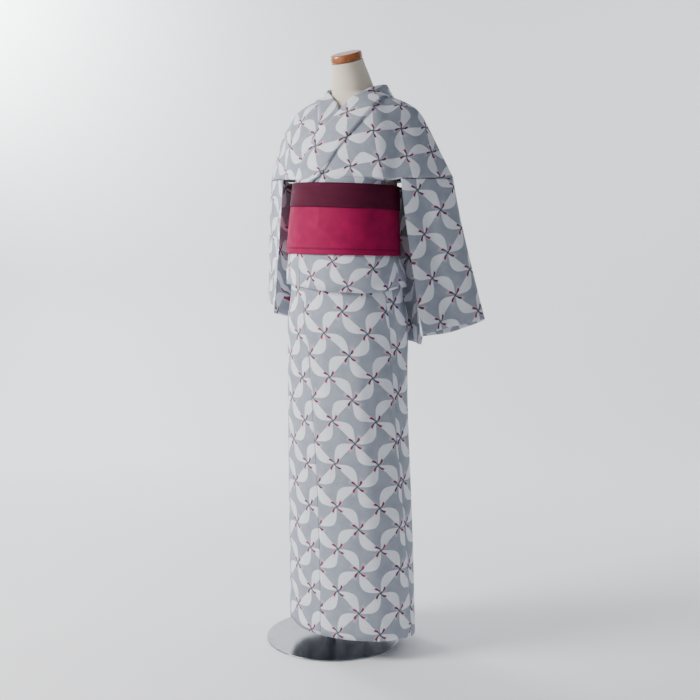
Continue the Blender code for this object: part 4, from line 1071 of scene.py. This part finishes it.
def sleeve(name, side, cuff, print_at):
    cuff_table = np.hstack([np.array(CUFF_STEPS)[:, None], np.array(cuff)])

    def place(across, up):
        across, up = np.broadcast_arrays(across, up)
        step = across * SLEEVE_AROUND
        over_arm = np.minimum(step / ARM_COLUMNS, 1.0)
        line = side * (ARM_FRONT + over_arm * (ARM_BACK - ARM_FRONT))
        top = chest_point(line, 0.0, 0.0) - np.array([0.0, 0.0, SLEEVE_SEAM])
        ends = chest_point(side * np.array([ARM_BACK, ARM_FRONT]), 0.0, 0.0)
        ends = ends - np.array([0.0, 0.0, SLEEVE_SEAM])
        inner = np.array(SLEEVE_INNER_EDGE) * (1, side, 1, 1) + (0, AXIS_SIDE, 0, 0)
        inner = np.vstack([(ARM_COLUMNS, *ends[0]), inner, (SLEEVE_AROUND, *ends[1])])
        past_arm = step > ARM_COLUMNS
        top[past_arm] = through(inner, step[past_arm])
        low = through(cuff_table, step) + (AXIS_SIDE, 0, 0)
        down = 1.0 - up
        middle = top + (down**SLEEVE_FLARE)[:, None] * (low - top)
        drop = down * (low[:, 2] - top[:, 2])
        middle[:, 2] = top[:, 2] + drop
        centre = np.array([AXIS_SIDE + side * SLEEVE_MIDDLE[0], SLEEVE_MIDDLE[1]])
        away = middle[:, :2] - centre
        away /= np.linalg.norm(away, axis=1, keepdims=True)
        raised = np.zeros_like(step)
        for top_step, cuff_step, ridge, half_width in SLEEVE_FOLDS:
            at = top_step + down * (cuff_step - top_step)
            off = wrapped(step - at, SLEEVE_AROUND)
            raised += ridge * soft_step(*SLEEVE_FOLDS_START, down) * np.exp(-((off / half_width) ** 2))
        middle[:, :2] += raised[:, None] * away
        return middle

    def chart(across, up):
        run = run_along(place, across, up, 0.0 * across)
        fall = run_along(lambda at, where: place(where, at), up, 0.2 + 0.0 * across, 1.0 + 0.0 * up)
        return print_laid(np.stack([side * run, fall], axis=-1), *print_at)

    mesh = carried_grid(*SLEEVE_GRID, place, chart, closed=True, flip=side < 0)
    made = cloth_wall(show_piece("cotton_" + name, mesh, cotton, "printed_cotton", name), CLOTH)


sleeve("sleeve_left", 1, LEFT_CUFF, (-3.0, 0.0181, -0.0241, 1.05))
sleeve("sleeve_right", -1, RIGHT_CUFF, (3.0, 0.0300, -0.0100, 1.05))


# Belt: a half-width obi of ribbed crimson cloth wound round the waist, its upper edge turned over
# to the outside so that the maroon reverse shows, and tied at the back in a small flat bow.
OBI_HEIGHT = 0.170
OBI_BOTTOM = 0.990
OBI_CLOTH = 0.0022
OBI_RISE = 0.004  # the belt's lower edge stands this much higher on the wearer's right
OBI_TOP_RISE = 0.0070  # the same for its upper edge
OBI_TRIM = 0.0010  # the upper edge lies this much below the full height
OBI_FRONT_REACH = (125.0, 68.0)  # degrees from the front between which the belt moves out
TURNED_HEIGHT = 0.057  # the dark edge turned over to the outside
TURNED_CLOTH = 0.0016
TURNED_UP = 0.001  # the turned edge reaches this far above the wrap
WING_CLOTH = 0.0020
KNOT_HALF_HEIGHT = 0.034
KNOT_HALF_DEPTH = 0.0185
KNOT_WIDTH = 0.052
KNOT_MIDDLE = 1.066
KNOT_BELLY = 0.10  # how much slimmer the knot is at its two ends
# Half of the bow's loop seen from above: share of the way, side, aft, half the band's height
WING_PATH = (
    (0.00, 0.0006, -0.0070, 0.017), (0.14, 0.0270, -0.0070, 0.018), (0.28, 0.0600, -0.0040, 0.046),
    (0.43, 0.1120, 0.0020, 0.068), (0.50, 0.1350, 0.0100, 0.073), (0.57, 0.1120, 0.0190, 0.070),
    (0.72, 0.0600, 0.0170, 0.050), (0.86, 0.0270, 0.0065, 0.018), (1.00, 0.0006, 0.0060, 0.017),
)
WING_DROOP = 0.55
CRIMSON = (0.330, 0.001, 0.064)
CRIMSON_DEEP = (0.165, 0.001, 0.034)
MAROON = (0.080, 0.002, 0.023)
MAROON_DEEP = (0.040, 0.002, 0.012)
STITCH_UP = 0.0135  # the sewn line lies this far above the lower edge
# Soft creases of the wound belt: degrees round and height of both ends, ridge, half its width
OBI_CREASES = (
    (-13.0, 1.076, 18.0, 1.030, 0.0010, 0.0030), (28.0, 1.094, 62.0, 1.060, 0.0008, 0.0050),
    (-52.0, 1.050, -22.0, 1.012, 0.0008, 0.0045),
)
OBI_CREASE_STARTS = (-0.3, 0.3)  # shares of a crease's length over which it rises and fades
OBI_CREASE_ENDS = (1.3, 0.7)
OBI_GIRTH = 0.86  # the cloth's measure once round
PLAIN_MEASURE = (0.45, 0.13)  # the same on the turned edge, the knot and the wings, and up them
PLAIN_START = 0.02  # above the sewn line, which does not show there
OBI_GRID = (192, 48)
OBI_EDGE_GRID = (192, 14)
KNOT_GRID = (80, 16)
WING_GRID = (110, 24)


def belt_cloth(name, colour, deep, roughness):
    paint = Paint(name, roughness=roughness)
    paint.shader.inputs["Specular IOR Level"].default_value = 0.18
    cloth = paint.add("UVMap", uv_map="cloth")
    rib = paint.add("VectorMath", {0: cloth, 1: (260.0, 1100.0, 0.0)}, operation="MULTIPLY")
    ribs = paint.add("TexNoise", {"Vector": rib, "Scale": 1.0, "Detail": 2.0})
    wear = paint.add("TexNoise", {"Vector": cloth, "Scale": 18.0, "Detail": 4.0})
    figure = paint.add("TexVoronoi", {"Vector": cloth, "Scale": 46.0}, feature="SMOOTH_F1")
    tone = (ribs - 0.5) * 0.8 + wear.step(0.3, 0.75) * 0.45 + figure.step(0.25, 0.5) * 0.22
    stitch_at = (paint.add("SeparateXYZ", {"Vector": cloth}).part("Y") - STITCH_UP).sum("ABSOLUTE")
    stitch = stitch_at.step(0.0034, 0.0012)
    paint.show(base_color=paint.mix(tone + stitch * 0.75, colour, deep))
    paint.show(roughness=roughness + wear * 0.14)
    paint.bump(ribs - stitch * 1.5, 0.0004, 0.55)
    return paint


crimson = belt_cloth("belt_crimson_rib", CRIMSON, CRIMSON_DEEP, 0.66)
maroon = belt_cloth("belt_maroon_reverse", MAROON, MAROON_DEEP, 0.70)


def obi_off(angle):
    """The belt lies further out in front, over the collar and both fronts."""
    return OBI_BACK + (OBI_FRONT - OBI_BACK) * soft_step(*OBI_FRONT_REACH, np.abs(angle))


def obi_bottom(angle):
    return OBI_BOTTOM - OBI_RISE * np.sin(np.radians(angle))


def obi_top(angle):
    return OBI_BOTTOM + OBI_HEIGHT - OBI_TRIM - OBI_TOP_RISE * np.sin(np.radians(angle))


def obi_crease(angle, height):
    raised = np.zeros_like(height)
    for start, start_height, end, end_height, ridge, half_width in OBI_CREASES:
        part = (angle - start) / (end - start)
        away = height - start_height - part * (end_height - start_height)
        ends = soft_step(*OBI_CREASE_STARTS, part) * soft_step(*OBI_CREASE_ENDS, part)
        raised = raised + ridge * ends * np.exp(-((away / half_width) ** 2))
    return raised


def obi_place(across, up):
    angle = (across * 360.0 + 180.0) % 360.0 - 180.0
    low = obi_bottom(angle)
    height = low + up * (obi_top(angle) - low)
    out = obi_off(angle) + np.where(np.abs(angle) < 90.0, obi_crease(angle, height), 0.0)
    return section_point(WAIST_SECTIONS, angle, height, out)


def turned_place(across, up):
    angle = (across * 360.0 + 180.0) % 360.0 - 180.0
    height = obi_top(angle) - TURNED_HEIGHT + up * (TURNED_HEIGHT + TURNED_UP)
    return section_point(WAIST_SECTIONS, angle, height, obi_off(angle) + OBI_CLOTH + SEAM)


def belt_chart(across, up):
    return np.stack([across * OBI_GIRTH, up * OBI_HEIGHT], axis=-1)


def plain_chart(across, up):
    return np.stack([across * PLAIN_MEASURE[0], PLAIN_START + up * PLAIN_MEASURE[1]], axis=-1)


wrap_mesh = carried_grid(*OBI_GRID, obi_place, belt_chart, closed=True)
wrap = cloth_wall(show_piece("obi_wound", wrap_mesh, crimson, "belt_crimson", "obi_wrap"), OBI_CLOTH)

edge_mesh = carried_grid(*OBI_EDGE_GRID, turned_place, plain_chart, closed=True)
edge = show_piece("obi_edge", edge_mesh, maroon, "belt_maroon", "obi_turned_edge")
cloth_wall(edge, TURNED_CLOTH)

obi_back = section_point(WAIST_SECTIONS, 180.0, KNOT_MIDDLE, OBI_BACK + OBI_CLOTH)[1]
knot_aft = obi_back + SEAM + KNOT_HALF_DEPTH


def knot_place(across, up):
    turn = across * 2 * math.pi
    depth = KNOT_HALF_DEPTH - OBI_CLOTH
    height = KNOT_HALF_HEIGHT - OBI_CLOTH
    belly = 1.0 - KNOT_BELLY * np.abs(2 * up - 1) ** 2
    x = AXIS_SIDE + (up - 0.5) * KNOT_WIDTH
    y = knot_aft + depth * belly * np.cos(turn)
    z = KNOT_MIDDLE + height * belly * np.sin(turn)
    return np.stack([x, y, z], axis=-1)


knot_mesh = carried_grid(*KNOT_GRID, knot_place, plain_chart, closed=True)
knot = cloth_wall(show_piece("obi_bow_knot", knot_mesh, crimson, "belt_crimson", "obi_knot"), OBI_CLOTH)


def wing(name, side):
    def place(across, up):
        path = through(WING_PATH, across)
        x = AXIS_SIDE + side * path[:, 0]
        y = knot_aft + path[:, 1]
        z = KNOT_MIDDLE - WING_DROOP * path[:, 0] ** 2 + (2 * up - 1) * path[:, 2]
        return np.stack([x, y, z], axis=-1)

    mesh = carried_grid(*WING_GRID, place, plain_chart, flip=side < 0)
    made = show_piece("obi_" + name, mesh, crimson, "belt_crimson", name)
    cloth_wall(made, WING_CLOTH)


wing("bow_wing_left", 1)
wing("bow_wing_right", -1)
